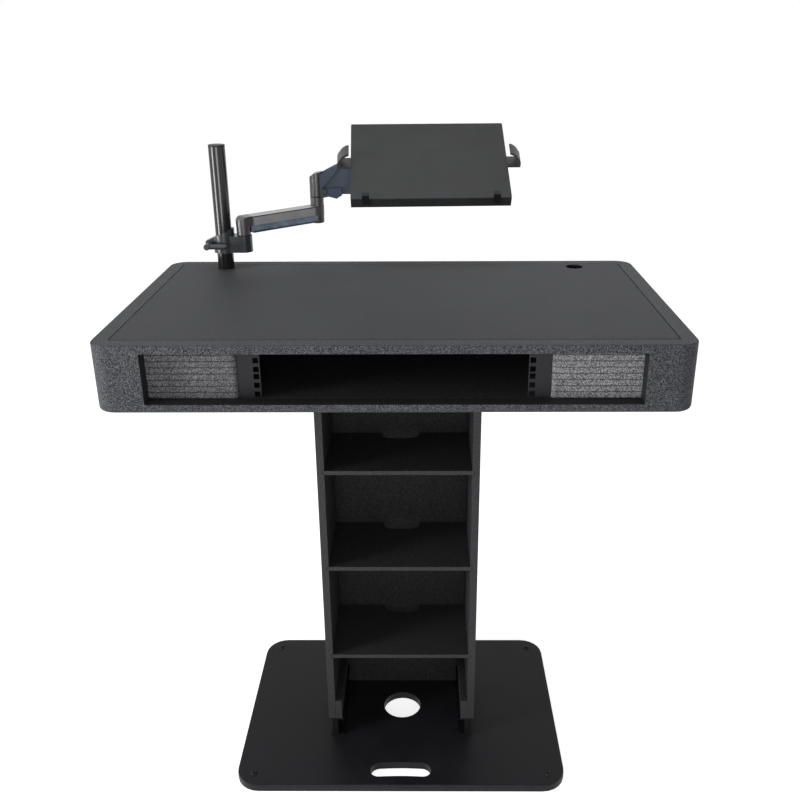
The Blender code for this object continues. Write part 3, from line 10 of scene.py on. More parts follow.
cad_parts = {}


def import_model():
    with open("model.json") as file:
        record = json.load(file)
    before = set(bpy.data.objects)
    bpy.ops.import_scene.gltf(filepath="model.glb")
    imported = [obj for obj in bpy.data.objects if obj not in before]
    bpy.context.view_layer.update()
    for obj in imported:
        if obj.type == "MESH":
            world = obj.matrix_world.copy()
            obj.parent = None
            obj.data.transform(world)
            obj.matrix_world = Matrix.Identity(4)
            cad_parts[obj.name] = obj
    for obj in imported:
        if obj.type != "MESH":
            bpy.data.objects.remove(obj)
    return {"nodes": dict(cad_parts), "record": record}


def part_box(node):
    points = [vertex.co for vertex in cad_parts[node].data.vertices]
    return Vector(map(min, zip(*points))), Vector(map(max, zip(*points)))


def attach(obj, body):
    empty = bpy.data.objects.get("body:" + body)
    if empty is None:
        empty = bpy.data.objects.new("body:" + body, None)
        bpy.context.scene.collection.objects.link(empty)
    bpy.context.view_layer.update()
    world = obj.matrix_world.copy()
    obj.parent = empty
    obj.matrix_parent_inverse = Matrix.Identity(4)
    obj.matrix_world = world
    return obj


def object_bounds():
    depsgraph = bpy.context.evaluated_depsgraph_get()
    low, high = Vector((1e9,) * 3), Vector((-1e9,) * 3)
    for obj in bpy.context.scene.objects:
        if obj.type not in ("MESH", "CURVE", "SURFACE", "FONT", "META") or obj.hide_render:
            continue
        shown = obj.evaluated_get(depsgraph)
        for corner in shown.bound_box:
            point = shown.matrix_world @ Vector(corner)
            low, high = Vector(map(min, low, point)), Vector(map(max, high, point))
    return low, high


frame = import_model()
CAD_BOX = [list(corner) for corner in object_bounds()]
SLOT_OF = {part["node"]: part["material_slot"] for part in frame["record"]["subparts"]}

# Camera, fitted to the photograph
CAMERA_PLACE = (0.04585, -1.6714, 0.47132)
CAMERA_DOWN = math.radians(22.48)
CAMERA_YAW = math.radians(-0.48)
CAMERA_ROLL = math.radians(-0.27)
CAMERA_LENS = 40.477
CAMERA_SENSOR = 36.0
CAMERA_SHIFT = (-0.01835, 0.00346)
CAMERA_CLIP = (0.05, 60.0)

# Studio: each lamp's place, aim, width and height, and power
LAMPS = {
    "softbox_top": ((0.0, -0.2, 2.6), (0.0, 0.0, -0.2), (2.4, 1.8), 36),
    "softbox_left": ((-2.72, -1.30, 0.20), (-0.375, 0.234, 0.0), (0.9, 1.9), 74),
    "softbox_front": ((-0.05, -3.35, -0.02), (-0.20, 0.234, -0.1), (1.2, 1.8), 46),
}
WORLD_LEVEL = 0.24
WHITE = (1.0, 1.0, 1.0)
FLOOR_REACH = 12.0
FLOOR_COLOUR = (0.80, 0.80, 0.80)
FLOOR_GLOW = 0.82  # white to the camera, and the floor's own light adds the rest

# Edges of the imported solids, in metres, and the angles that make one
EDGE_BOARD = 0.0008
EDGE_STEEL = 0.0007
EDGE_PANEL = 0.0004
EDGE_CAST = 0.0010
EDGE_FINE = 0.0003
EDGE_SCREW = 0.0002
EDGE_STEPS = 2
EDGE_ANGLE = math.radians(30)
SMOOTH_ANGLE = math.radians(35)
FLAT_ANGLE = math.radians(0.5)
WELD_REACH = 0.00002

# Tones of the grained paints: pits, middle and crests
WORKTOP_TONES = ((0.028, 0.029, 0.031), (0.045, 0.046, 0.049), (0.070, 0.071, 0.076))
CONSOLE_TONES = ((0.007, 0.007, 0.008), (0.038, 0.040, 0.045), (0.145, 0.150, 0.164))
BLOCK_TONES = ((0.030, 0.030, 0.033), (0.135, 0.135, 0.143), (0.440, 0.440, 0.465))
BOARD_TONES = ((0.013, 0.013, 0.014), (0.026, 0.026, 0.028), (0.052, 0.052, 0.056))
BACK_SHADE_SHARE = 0.55  # painted shade: the back panel, at the back of the bays, is darker than the other boards
LEFT_BLOCK_SHADE = (0.52, 0.52, 0.52)  # painted shade: the left block is darker in the photograph, from the shade of the bay's left wall, and its paint is darkened for it
RIGHT_BLOCK_TONE = WHITE

# Painted shade: plain dark places in the paint, where shade falls in joints, recesses and under the arm's top
# face
PANEL_SIDE_SHADE = (0.004, 0.004, 0.004)
MOUTH_SHADE = (0.018, 0.018, 0.020)
ARM_LINE_SHADE = (0.006, 0.006, 0.007)

# Scale of each grain, in repeats for each metre
WORKTOP_GRAIN = 900.0
CONSOLE_GRAIN = 780.0
BOARD_GRAIN = 760.0
COARSE_GRAIN_SHARE = 0.4
TONE_DRIFT = 9.0
LAYER_WOBBLE = 160.0
COAT_GRAIN = 1400.0
COAT_DRIFT = 14.0
TUBE_DRIFT = 40.0
TUBE_STRETCH = (1.0, 1.0, 0.08)
CAST_TOOTH = 900.0
CAST_MOTTLE = 45.0
METAL_LINES = 260.0
RUBBER_GRAIN = 700.0

# Depth of each grain, in metres
WORKTOP_DEPTH = 0.00015
CONSOLE_DEPTH = 0.00050
BLOCK_DEPTH = 0.00060
BOARD_DEPTH = 0.00020
COAT_DEPTH = 0.00006
TUBE_DEPTH = 0.000004
CAST_DEPTH = 0.00005
ARM_DEPTH = 0.00003
METAL_DEPTH = 0.00004
RUBBER_DEPTH = 0.0001

# Console: half the bay's mouth, and how far its walls with painted shade lie inside the painted faces
MOUTH_HALF = 0.417
SKIN = 0.0008
BLOCK_LAYERS = 8
LAYER_WAVER = 0.16  # of a layer's height

# Lower arm: foot, heading and length of its axis, its tones (the beam's partly a painted reflection) and the
# painted shadow line under its top face
ARM_FOOT = (-0.332, 0.234)
ARM_HEADING = math.radians(42.5)
ARM_LENGTH = 0.195
ARM_CROWN = 0.018  # elbow barrel over the beam's top
ARM_SHADOW_LINE = (0.0005, 0.0024)  # its upper and lower edge under the beam's top
BARREL_FROM = (0.80, 0.86)  # share of half the arm's length where the beam turns into the barrels
# the beam's grey: partly its paint, partly a painted reflection of bright surroundings on its flat side
BEAM_GREY_AND_SHEEN = (0.350, 0.348, 0.360)
CASTING_TONE = (0.045, 0.045, 0.049)
LIP_HALF = (0.0146, 0.0120)  # strip under the cable channel: half its width at the top and at the bottom
LIP_DROP = 0.0030
LIP_SHOULDER = (0.97, 0.45)  # share of the width and of the drop
LIP_ENDS = (0.018, 0.184)
LIP_LAP = 0.0004  # into the channel

# Screw heads: radius and height, and the hexagon in them: half its width and depth
FOOT_HEAD = (0.0070, 0.0032, 0.0021, 0.0018)
CLEAT_HEAD = (0.0042, 0.0024, 0.0013, 0.0012)
RAIL_HEAD = (0.0040, 0.0022, 0.0013, 0.0012)
HEAD_DOME = ((1.0, 0.0), (1.0, 0.22), (0.93, 0.52), (0.76, 0.82), (0.55, 1.0))  # shares of radius and height
HEAD_SIDES = 24
CLEAT_SCREWS = 4
CLEAT_SCREW_DROP = 0.007  # under the cleat's top
CLEAT_SCREW_PITCH = 0.049
CLEAT_SCREW_SHIFT = 0.0015
RAIL_SCREW_SHARE = 0.65  # of the flange's depth
RAIL_SCREW_INSET = 0.018  # from the rail's ends
RAIL_SHEET = 0.002


def node_box(name):
    low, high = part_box(name)
    return Vector(low), Vector(high)


def scaled(colour, share):
    return tuple(share * part for part in colour)


class Look:
    """A node material with short names for the textures that it needs."""

    def __init__(self, name, colour, roughness, metallic=0.0, specular=0.5):
        self.material = bpy.data.materials.new(name)
        self.material.use_nodes = True
        self.nodes = self.material.node_tree.nodes
        self.links = self.material.node_tree.links
        self.shader = self.nodes["Principled BSDF"]
        self.shader.inputs["Base Color"].default_value = (*colour, 1.0)
        self.shader.inputs["Roughness"].default_value = roughness
        self.shader.inputs["Metallic"].default_value = metallic
        self.shader.inputs["Specular IOR Level"].default_value = specular
        self.material.diffuse_color = (*colour, 1.0)
        self.place = self.nodes.new("ShaderNodeTexCoord").outputs["Object"]
        split = self.nodes.new("ShaderNodeSeparateXYZ")
        self.join(self.place, split.inputs[0])
        self.axes = {axis: split.outputs[axis] for axis in "XYZ"}

    def join(self, source, target):
        self.links.new(source, target)

    def stretched(self, scale):
        node = self.nodes.new("ShaderNodeMapping")
        node.inputs["Scale"].default_value = scale
        self.join(self.place, node.inputs["Vector"])
        return node.outputs["Vector"]

    def noise(self, scale, detail=2.0, roughness=0.5, vector=None):
        node = self.nodes.new("ShaderNodeTexNoise")
        node.inputs["Scale"].default_value = scale
        node.inputs["Detail"].default_value = detail
        node.inputs["Roughness"].default_value = roughness
        self.join(vector or self.place, node.inputs["Vector"])
        return node.outputs["Fac"]

    def ramp(self, factor, *stops):
        """Colours or grey levels between stops of a factor."""
        node = self.nodes.new("ShaderNodeValToRGB")
        while len(node.color_ramp.elements) < len(stops):
            node.color_ramp.elements.new(0.5)
        for element, (at, colour) in zip(node.color_ramp.elements, stops):
            element.position = at
            element.color = (*colour, 1.0) if isinstance(colour, tuple) else (colour, colour, colour, 1.0)
        self.join(factor, node.inputs["Fac"])
        return node.outputs["Color"]

    def blend(self, factor, first, second, kind="MIX"):
        node = self.nodes.new("ShaderNodeMix")
        node.data_type = "RGBA"
        node.blend_type = kind
        for name, value in (("Factor", factor), ("A", first), ("B", second)):
            socket = [s for s in node.inputs if s.name == name and s.enabled][0]
            if isinstance(value, (int, float)):
                socket.default_value = value
            elif isinstance(value, tuple):
                socket.default_value = (*value, 1.0)
            else:
                self.join(value, socket)
        return [s for s in node.outputs if s.enabled][0]

    def multiplied(self, first, second):
        return self.blend(1.0, first, second, "MULTIPLY")

    def maths(self, kind, first, second=0.0):
        node = self.nodes.new("ShaderNodeMath")
        node.operation = kind
        for socket, value in zip(node.inputs, (first, second)):
            if isinstance(value, (int, float)):
                socket.default_value = value
            else:
                self.join(value, socket)
        return node.outputs[0]

    def mixed(self, first, second, share):
        """Two textures added, the second of them with its share of the whole."""
        rest = self.maths("MULTIPLY", first, 1.0 - share)
        return self.maths("ADD", rest, self.maths("MULTIPLY", second, share))

    def above(self, axis, value):
        return self.maths("GREATER_THAN", self.axes[axis], value)

    def below(self, axis, value):
        return self.maths("LESS_THAN", self.axes[axis], value)

    def within(self, axis, value):
        return self.maths("LESS_THAN", self.maths("ABSOLUTE", self.axes[axis]), value)

    def all_of(self, *masks):
        whole = masks[0]
        for mask in masks[1:]:
            whole = self.maths("MULTIPLY", whole, mask)
        return whole

    def colour(self, source):
        self.join(source, self.shader.inputs["Base Color"])

    def rough(self, factor, low, high):
        """Roughness that runs from low to high with a texture."""
        self.join(self.ramp(factor, low, high), self.shader.inputs["Roughness"])

    def bump(self, height, depth):
        node = self.nodes.new("ShaderNodeBump")
        node.inputs["Distance"].default_value = depth
        node.inputs["Strength"].default_value = 1.0
        self.join(height, node.inputs["Height"])
        self.join(node.outputs["Normal"], self.shader.inputs["Normal"])


def grainy(name, tones, grain, roughness, specular, spread=0.12, coarse_share=0.25):
    """Sprayed paint with a grain: dark pits, light crests and a slow drift of tone."""
    dark, middle, light = tones
    look = Look(name, middle, roughness, specular=specular)
    fine = look.noise(grain, 2.0, 0.6)
    coarse = look.noise(grain * COARSE_GRAIN_SHARE, 1.0, 0.5)
    height = look.mixed(fine, coarse, coarse_share)
    paint = look.ramp(height, (0.5 - spread, dark), (0.50, middle), (0.5 + spread, light))
    drift = look.ramp(look.noise(TONE_DRIFT, 2.0), (0.30, 0.90), (0.70, 1.0))
    look.rough(height, (0.35, roughness + 0.10), (0.65, roughness - 0.08))
    return look, height, look.multiplied(paint, drift)


def worktop_paint():
    """Grained on top; its sides in the joint are plain dark, painted shade."""
    look, height, paint = grainy("worktop_paint", WORKTOP_TONES, WORKTOP_GRAIN, 0.58, 0.12)
    # painted shade: below the top face, the panel's sides in the joint take a plain dark colour
    look.colour(look.blend(look.below("Z", -SKIN), paint, PANEL_SIDE_SHADE))
    look.bump(height, WORKTOP_DEPTH)
    return look.material


def console_paint():
    """Speckled outside; the walls of the bay's mouth and of the joint round the panel are plain black,
    painted shade.
    """
    ring_front = node_box("table_ring")[0].y
    panel_low, panel_high = node_box("top_panel")
    floor = node_box("bottom_panel")[1].z
    look, height, paint = grainy("console_paint", CONSOLE_TONES, CONSOLE_GRAIN, 0.55, 0.12, coarse_share=0.08)
    mouth = look.all_of(
        look.within("X", MOUTH_HALF + SKIN / 2),
        look.above("Z", floor - SKIN / 2),
        look.below("Z", panel_low.z + SKIN / 2),
        look.above("Y", ring_front + 1.2 * SKIN),
        look.below("Y", 0.0),
    )
    joint = look.all_of(
        look.within("X", panel_high.x + 3 * SKIN),
        look.within("Y", panel_high.y + 3 * SKIN),
        look.below("Z", -2 * SKIN),
    )
    # painted shade: the mouth's walls and the joint round the panel are plain dark
    dark = look.maths("MAXIMUM", mouth, joint)
    look.colour(look.blend(dark, paint, MOUTH_SHADE))
    look.bump(look.maths("MULTIPLY", height, look.maths("SUBTRACT", 1.0, dark)), CONSOLE_DEPTH)
    return look.material


def layer_lines(look):
    """Soft dark lines at the joints between the stacked boards of a block."""
    low, high = node_box("block_right")
    layer = (high.z - low.z) / BLOCK_LAYERS
    level = look.maths("DIVIDE", look.maths("SUBTRACT", look.axes["Z"], low.z), layer)
    wobble = look.maths("MULTIPLY", look.noise(LAYER_WOBBLE, 2.0), LAYER_WAVER)
    level = look.maths("ADD", level, look.maths("SUBTRACT", wobble, LAYER_WAVER / 2))
    from_middle = look.maths("ABSOLUTE", look.maths("SUBTRACT", look.maths("FRACT", level), 0.5))
    return look.ramp(look.maths("SUBTRACT", 0.5, from_middle), (0.02, 0.30), (0.13, 1.0))


def block_paint():
    """Rough paint over stacked boards, with painted shade darkening the left block."""
    look, height, paint = grainy("block_paint", BLOCK_TONES, BOARD_GRAIN, 0.60, 0.25, coarse_share=0.12)
    # painted shade: the left block's paint is darker
    side = look.blend(look.above("X", 0.0), LEFT_BLOCK_SHADE, RIGHT_BLOCK_TONE)
    look.colour(look.multiplied(look.multiplied(paint, layer_lines(look)), side))
    look.bump(height, BLOCK_DEPTH)
    return look.material


def board_black(name="board_black", share=1.0):
    tones = [scaled(tone, share) for tone in BOARD_TONES]
    look, height, paint = grainy(name, tones, BOARD_GRAIN, 0.60, 0.20 * share)
    look.colour(paint)
    look.bump(height, BOARD_DEPTH)
    return look.material


def powder_coat(name, colour, roughness, specular, depth=COAT_DEPTH):
    """Powder coat on steel or moulded plastic: a fine tooth and a slow change of gloss."""
    look = Look(name, colour, roughness, specular=specular)
    fine = look.noise(COAT_GRAIN, 2.0, 0.6)
    slow = look.noise(COAT_DRIFT, 3.0, 0.6)
    stops = (0.35, scaled(colour, 0.78)), (0.50, colour), (0.68, scaled(colour, 1.30))
    look.colour(look.ramp(look.mixed(fine, slow, 0.5), *stops))
    look.rough(slow, (0.3, roughness - 0.05), (0.7, roughness + 0.07))
    look.bump(fine, depth)
    return look.material


def gloss_paint(name, colour, roughness, specular):
    """Smooth paint on a drawn tube: only a faint unevenness along its length."""
    look = Look(name, colour, roughness, specular=specular)
    lines = look.noise(TUBE_DRIFT, 2.0, 0.5, look.stretched(TUBE_STRETCH))
    look.colour(look.ramp(lines, (0.3, scaled(colour, 0.8)), (0.7, scaled(colour, 1.2))))
    look.rough(lines, (0.3, roughness - 0.03), (0.7, roughness + 0.05))
    look.bump(lines, TUBE_DEPTH)
    return look.material


def satin_casting(name, colour, mottle, roughness, specular, depth=CAST_DEPTH):
    """Painted casting: a fine tooth, and a faint mottle."""
    look = Look(name, colour, roughness, specular=specular)
    fine = look.noise(CAST_TOOTH, 2.0, 0.6)
    slow = look.noise(CAST_MOTTLE, 3.0, 0.65)
    base = look.ramp(slow, (0.34, scaled(colour, 1.0 - mottle)), (0.66, scaled(colour, 1.0 + mottle)))
    look.colour(look.multiplied(base, look.ramp(fine, (0.35, 0.88), (0.65, 1.0))))
    look.rough(slow, (0.3, roughness - 0.05), (0.7, roughness + 0.07))
    look.bump(fine, depth)
    return look.material


def arm_paint():
    """The lower arm: dark barrels and a lighter beam between them, whose grey is partly a painted reflection,
    with a painted shadow line under its top face.
    """
    look = Look("arm_grey", BEAM_GREY_AND_SHEEN, 0.30, specular=0.6)
    east = look.maths("MULTIPLY", look.maths("SUBTRACT", look.axes["X"], ARM_FOOT[0]), math.cos(ARM_HEADING))
    north = look.maths("MULTIPLY", look.maths("SUBTRACT", look.axes["Y"], ARM_FOOT[1]), math.sin(ARM_HEADING))
    half = ARM_LENGTH / 2
    from_middle = look.maths("ABSOLUTE", look.maths("SUBTRACT", look.maths("ADD", east, north), half))
    barrels = look.ramp(look.maths("DIVIDE", from_middle, half), (BARREL_FROM[0], 0.0), (BARREL_FROM[1], 1.0))
    fine = look.noise(CAST_TOOTH, 2.0, 0.6)
    slow = look.noise(CAST_MOTTLE, 3.0, 0.65)
    # painted reflection: the beam is lighter than the barrels, partly for the bright reflection on its flat
    # side
    beam = look.ramp(slow, (0.34, scaled(BEAM_GREY_AND_SHEEN, 0.92)), (0.66, scaled(BEAM_GREY_AND_SHEEN, 1.06)))
    top = node_box("lower_arm")[1].z - ARM_CROWN
    # painted shadow: a dark line under the beam's top face, for the shadow gap between top and side
    line = look.all_of(look.above("Z", top - ARM_SHADOW_LINE[1]), look.below("Z", top - ARM_SHADOW_LINE[0]))
    tone = look.blend(line, look.blend(barrels, beam, CASTING_TONE), ARM_LINE_SHADE)
    look.colour(look.multiplied(tone, look.ramp(fine, (0.35, 0.88), (0.65, 1.0))))
    look.rough(slow, (0.3, 0.26), (0.7, 0.36))
    look.bump(fine, ARM_DEPTH)
    return look.material


def metal(name, colour, roughness):
    look = Look(name, colour, roughness, metallic=1.0)
    lines = look.noise(METAL_LINES, 3.0, 0.6)
    look.colour(look.ramp(lines, (0.3, scaled(colour, 0.8)), (0.7, colour)))
    look.rough(lines, (0.3, roughness - 0.06), (0.7, roughness + 0.10))
    look.bump(lines, METAL_DEPTH)
    return look.material


def rubber():
    look = Look("rubber_black", (0.012, 0.012, 0.012), 0.85, specular=0.3)
    grain = look.noise(RUBBER_GRAIN, 3.0, 0.6)
    look.colour(look.ramp(grain, (0.35, (0.009, 0.009, 0.009)), (0.65, (0.020, 0.020, 0.020))))
    look.rough(grain, (0.3, 0.78), (0.7, 0.92))
    look.bump(grain, RUBBER_DEPTH)
    return look.material


# The finish of each material slot: colour, roughness and specular level of the plain ones are given here
LOOKS = {
    "worktop_paint": worktop_paint(),
    "console_paint": console_paint(),
    "board_black": board_black(),
    "block_paint": block_paint(),
    "steel_black": powder_coat("steel_black", (0.013, 0.013, 0.015), 0.42, 0.14),
    "pole_black": gloss_paint("pole_black", (0.006, 0.006, 0.007), 0.18, 0.50),
    "rubber_black": rubber(),
    "zinc": metal("zinc", (0.55, 0.55, 0.56), 0.35),
    "cast_grey": satin_casting("cast_grey", CASTING_TONE, 0.10, 0.32, 0.55, depth=0.000008),
    "cover_blue": satin_casting("cover_blue", (0.026, 0.042, 0.068), 0.18, 0.40, 0.22),
    "plastic_black": powder_coat("plastic_black", (0.014, 0.014, 0.016), 0.42, 0.30),
}
EDGE_OF = {
    **dict.fromkeys(("worktop_paint", "console_paint", "board_black", "block_paint"), EDGE_BOARD),
    **dict.fromkeys(("steel_black", "pole_black", "zinc", "cover_blue", "plastic_black"), EDGE_FINE),
    "rubber_black": EDGE_STEEL,
    "cast_grey": EDGE_CAST,
}

# Nodes whose finish or edge differs from that of their slot
COLLAR_LOOK = powder_coat("collar_black", (0.024, 0.026, 0.031), 0.24, 0.60, depth=0.00001)
LEVER_LOOK = powder_coat("lever_grey", (0.040, 0.041, 0.043), 0.40, 0.40)
CLAW_LOOK = powder_coat("claw_grey", (0.036, 0.036, 0.038), 0.38, 0.40)
RAIL_LOOK = powder_coat("rail_black", (0.006, 0.006, 0.007), 0.45, 0.12)
TRAY_LOOK = powder_coat("tray_black", (0.024, 0.025, 0.026), 0.42, 0.20)
CHANNEL_LOOK = satin_casting("channel_grey", (0.200, 0.260, 0.330), 0.30, 0.40, 0.4)
OWN_LOOKS = {
    "cable_channel": {"look": CHANNEL_LOOK, "width": EDGE_STEEL},
    "top_panel": {"width": EDGE_PANEL},
    "lower_arm": {"look": arm_paint()},
    "collar_body": {"look": COLLAR_LOOK},
    "clamp_lever": {"look": LEVER_LOOK},
    # painted shade: the back panel takes a darker share of the board paint
    "back_panel": {"look": board_black("board_back_shaded", BACK_SHADE_SHARE)},
    "foot_rail_left": {"look": RAIL_LOOK},
    "foot_rail_right": {"look": RAIL_LOOK},
    "tray_plate": {"look": TRAY_LOOK},
    "claw_left": {"look": CLAW_LOOK},
    "claw_right": {"look": CLAW_LOOK},
}


def angle_shading():
    """Node group that shades smooth but keeps the steeper edges sharp."""
    group = bpy.data.node_groups.new("angle_shading", "GeometryNodeTree")
    group.interface.new_socket("Geometry", in_out="INPUT", socket_type="NodeSocketGeometry")
    group.interface.new_socket("Geometry", in_out="OUTPUT", socket_type="NodeSocketGeometry")
    start = group.nodes.new("NodeGroupInput")
    end = group.nodes.new("NodeGroupOutput")
    faces = group.nodes.new("GeometryNodeSetShadeSmooth")
    edges = group.nodes.new("GeometryNodeSetShadeSmooth")
    edges.domain = "EDGE"
    edges.inputs["Shade Smooth"].default_value = False
    angle = group.nodes.new("GeometryNodeInputMeshEdgeAngle")
    over = group.nodes.new("FunctionNodeCompare")
    over.data_type = "FLOAT"
    over.operation = "GREATER_THAN"
    over.inputs["B"].default_value = SMOOTH_ANGLE
    group.links.new(angle.outputs["Unsigned Angle"], over.inputs["A"])
    group.links.new(over.outputs["Result"], edges.inputs["Selection"])
    group.links.new(start.outputs[0], faces.inputs["Geometry"])
    group.links.new(faces.outputs["Geometry"], edges.inputs["Geometry"])
    group.links.new(edges.outputs["Geometry"], end.inputs[0])
    return group


SHADING = angle_shading()


def soften(piece, width):
    """Bevels the edges of a piece and shades it."""
    edge = piece.modifiers.new("edge", "BEVEL")
    edge.width = width
    edge.segments = EDGE_STEPS
    edge.limit_method = "ANGLE"
    edge.angle_limit = EDGE_ANGLE
    edge.use_clamp_overlap = True
    smooth = piece.modifiers.new("shading", "NODES")
    smooth.node_group = SHADING
    normals = piece.modifiers.new("normals", "WEIGHTED_NORMAL")
    normals.keep_sharp = True


def dress(name, look=None, width=None):
    """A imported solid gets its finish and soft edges; its mesh stays as it is."""
    piece = frame["nodes"][name]
    slot = SLOT_OF[name]
    piece.material_slots[0].material = look or LOOKS[slot]
    weld = piece.modifiers.new("weld", "WELD")
    weld.merge_threshold = WELD_REACH
    flat = piece.modifiers.new("flat", "DECIMATE")
    flat.decimate_type = "DISSOLVE"
    flat.angle_limit = FLAT_ANGLE
    soften(piece, width or EDGE_OF[slot])


def fitting(name, mesh, body, slot, width):
    """A small piece of the visual model, made in the row's frame and carried by a body."""
    bmesh.ops.recalc_face_normals(mesh, faces=mesh.faces)
    data = bpy.data.meshes.new(name)
    mesh.to_mesh(data)
    mesh.free()
    data.materials.append(LOOKS[slot])
    piece = bpy.data.objects.new(name, data)
    bpy.context.scene.collection.objects.link(piece)
    soften(piece, width)
    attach(piece, body)


def close_rings(mesh, rings):
    """Joins rings of points with faces, and closes both ends."""
    for low, high in zip(rings, rings[1:]):
        for i in range(len(low)):
            mesh.faces.new((low[i - 1], low[i], high[i], high[i - 1]))
    mesh.faces.new(rings[0])
    mesh.faces.new(rings[-1])


def screw_head(name, size, place, axis):
    """A domed black head with a hexagon socket, standing at a place along an axis."""
    radius, height, socket, depth = size
    turn = Vector(axis).to_track_quat("Z", "Y").to_matrix()
    spot = Vector(place)
    mesh = bmesh.new()

    def hexagon(angle):
        return socket / math.cos(angle % (math.pi / 3) - math.pi / 6)

    def ring(reach, level):
        made = []
        for i in range(HEAD_SIDES):
            angle = 2 * math.pi * i / HEAD_SIDES
            r = reach(angle) if callable(reach) else reach
            point = Vector((r * math.cos(angle), r * math.sin(angle), level))
            made.append(mesh.verts.new(spot + turn @ point))
        return made

    levels = [(across * radius, up * height) for across, up in HEAD_DOME]
    levels += [(hexagon, height), (hexagon, height - depth)]
    close_rings(mesh, [ring(reach, level) for reach, level in levels])
    fitting(name, mesh, "stand", "steel_black", EDGE_SCREW)


def base_screws():
    top = node_box("base_plate")[1].z
    for end in ("front", "rear"):
        for side in ("left", "right"):
            low, high = node_box(f"rubber_foot_{end}_{side}")
            spot = ((low.x + high.x) / 2, (low.y + high.y) / 2, top)
            screw_head(f"base_screw_{end}_{side}", FOOT_HEAD, spot, (0, 0, 1))


def cleat_screws():
    for side, sign in (("left", -1), ("right", 1)):
        low, high = node_box(f"cleat_{side}")
        face = low.x if sign > 0 else high.x
        for i in range(CLEAT_SCREWS):
            y = (i - (CLEAT_SCREWS - 1) / 2) * CLEAT_SCREW_PITCH + CLEAT_SCREW_SHIFT
            spot = (face, y, high.z - CLEAT_SCREW_DROP)
            screw_head(f"cleat_screw_{side}_{i + 1}", CLEAT_HEAD, spot, (-sign, 0, 0))


def rail_screws():
    for side, sign in (("left", -1), ("right", 1)):
        low, high = node_box(f"rack_rail_{side}")
        face = high.x - RAIL_SHEET if sign > 0 else low.x + RAIL_SHEET
        y = low.y + RAIL_SCREW_SHARE * (high.y - low.y)
        for end, z in (("top", high.z - RAIL_SCREW_INSET), ("bottom", low.z + RAIL_SCREW_INSET)):
            screw_head(f"rail_screw_{side}_{end}", RAIL_HEAD, (face, y, z), (-sign, 0, 0))


def channel_lip():
    """The rounded lower edge of the cable channel, in the arm's own direction."""
    top = node_box("cable_channel")[0].z + LIP_LAP
    ahead = Vector((math.cos(ARM_HEADING), math.sin(ARM_HEADING), 0))
    aside = Vector((-ahead.y, ahead.x, 0))
    wide, narrow = LIP_HALF
    shoulder, level = LIP_SHOULDER
    half = [(wide, 0.0), (shoulder * wide, level), (narrow, 1.0)]
    profile = [(-wide, 0.0)] + half + [(-narrow, 1.0), (-shoulder * wide, level)]
    mesh = bmesh.new()
    rings = []
    for reach in LIP_ENDS:
        middle = Vector((*ARM_FOOT, top)) + reach * ahead
        points = [middle + across * aside - Vector((0, 0, share * LIP_DROP)) for across, share in profile]
        rings.append([mesh.verts.new(point) for point in points])
    close_rings(mesh, rings)
    fitting("channel_lip", mesh, "lower_arm", "cover_blue", EDGE_PANEL)


def stage():
    """A pale floor that shows white but keeps the shadow."""
    low = CAD_BOX[0][2]
    data = bpy.data.meshes.new("floor")
    corners = [(x * FLOOR_REACH, y * FLOOR_REACH, low) for x, y in ((-1, -1), (1, -1), (1, 1), (-1, 1))]
    data.from_pydata(corners, [], [(0, 1, 2, 3)])
    floor = bpy.data.objects.new("floor", data)
    bpy.context.scene.collection.objects.link(floor)
    look = bpy.data.materials.new("floor")
    look.use_nodes = True
    nodes, links = look.node_tree.nodes, look.node_tree.links
    shader = nodes["Principled BSDF"]
    shader.inputs["Base Color"].default_value = (*FLOOR_COLOUR, 1.0)
    shader.inputs["Roughness"].default_value = 1.0
    shader.inputs["Specular IOR Level"].default_value = 0.0
    shader.inputs["Emission Color"].default_value = (*WHITE, 1.0)
    path = nodes.new("ShaderNodeLightPath")
    seen = nodes.new("ShaderNodeMath")
    seen.operation = "ADD"
    seen.use_clamp = True
    links.new(path.outputs["Is Camera Ray"], seen.inputs[0])
    links.new(path.outputs["Is Glossy Ray"], seen.inputs[1])
    glow = nodes.new("ShaderNodeMath")
    glow.operation = "MULTIPLY"
    glow.inputs[1].default_value = FLOOR_GLOW
    links.new(seen.outputs[0], glow.inputs[0])
    links.new(glow.outputs[0], shader.inputs["Emission Strength"])
    data.materials.append(look)


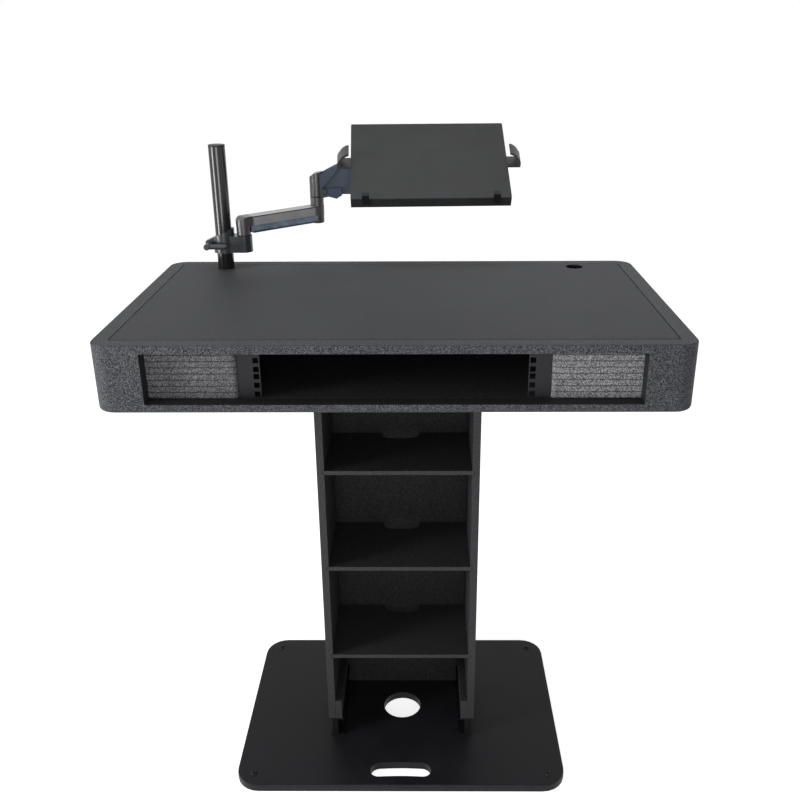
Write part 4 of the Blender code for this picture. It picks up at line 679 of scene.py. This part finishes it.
def world():
    """White where the camera or a reflection sees it, and a soft even light elsewhere."""
    made = bpy.data.worlds.new("studio")
    bpy.context.scene.world = made
    made.use_nodes = True
    nodes, links = made.node_tree.nodes, made.node_tree.links
    background = nodes["Background"]
    path = nodes.new("ShaderNodeLightPath")
    seen = path.outputs["Is Camera Ray"]
    for ray in ("Is Transmission Ray", "Is Glossy Ray"):
        either = nodes.new("ShaderNodeMath")
        either.operation = "MAXIMUM"
        links.new(seen, either.inputs[0])
        links.new(path.outputs[ray], either.inputs[1])
        seen = either.outputs[0]
    level = nodes.new("ShaderNodeMapRange")
    level.inputs["To Min"].default_value = WORLD_LEVEL
    level.inputs["To Max"].default_value = 1.0
    links.new(seen, level.inputs["Value"])
    links.new(level.outputs[0], background.inputs["Strength"])
    background.inputs["Color"].default_value = (*WHITE, 1.0)


def softbox(name, place, aim, size, power):
    data = bpy.data.lights.new(name, "AREA")
    data.shape = "RECTANGLE"
    data.size, data.size_y = size
    data.energy = power
    lamp = bpy.data.objects.new(name, data)
    bpy.context.scene.collection.objects.link(lamp)
    lamp.location = place
    lamp.rotation_euler = (Vector(aim) - Vector(place)).to_track_quat("-Z", "Y").to_euler()


def camera():
    yaw, down, roll = CAMERA_YAW, CAMERA_DOWN, CAMERA_ROLL
    ahead = Vector((math.sin(yaw) * math.cos(down), math.cos(yaw) * math.cos(down), -math.sin(down)))
    right = Vector((math.cos(yaw), -math.sin(yaw), 0))
    up = right.cross(ahead)
    across = math.cos(roll) * right + math.sin(roll) * up
    upright = -math.sin(roll) * right + math.cos(roll) * up
    data = bpy.data.cameras.new("camera")
    data.lens = CAMERA_LENS
    data.sensor_width = CAMERA_SENSOR
    data.shift_x, data.shift_y = CAMERA_SHIFT
    data.clip_start, data.clip_end = CAMERA_CLIP
    made = bpy.data.objects.new("camera", data)
    bpy.context.scene.collection.objects.link(made)
    turn = Matrix((across, upright, -ahead)).transposed().to_4x4()
    made.matrix_world = Matrix.Translation(CAMERA_PLACE) @ turn
    bpy.context.scene.camera = made


for node in frame["nodes"]:
    dress(node, **OWN_LOOKS.get(node, {}))
base_screws()
cleat_screws()
channel_lip()
rail_screws()
stage()
world()
camera()
for lamp_name, lamp in LAMPS.items():
    softbox(lamp_name, *lamp)
bpy.context.scene.view_settings.view_transform = "Standard"
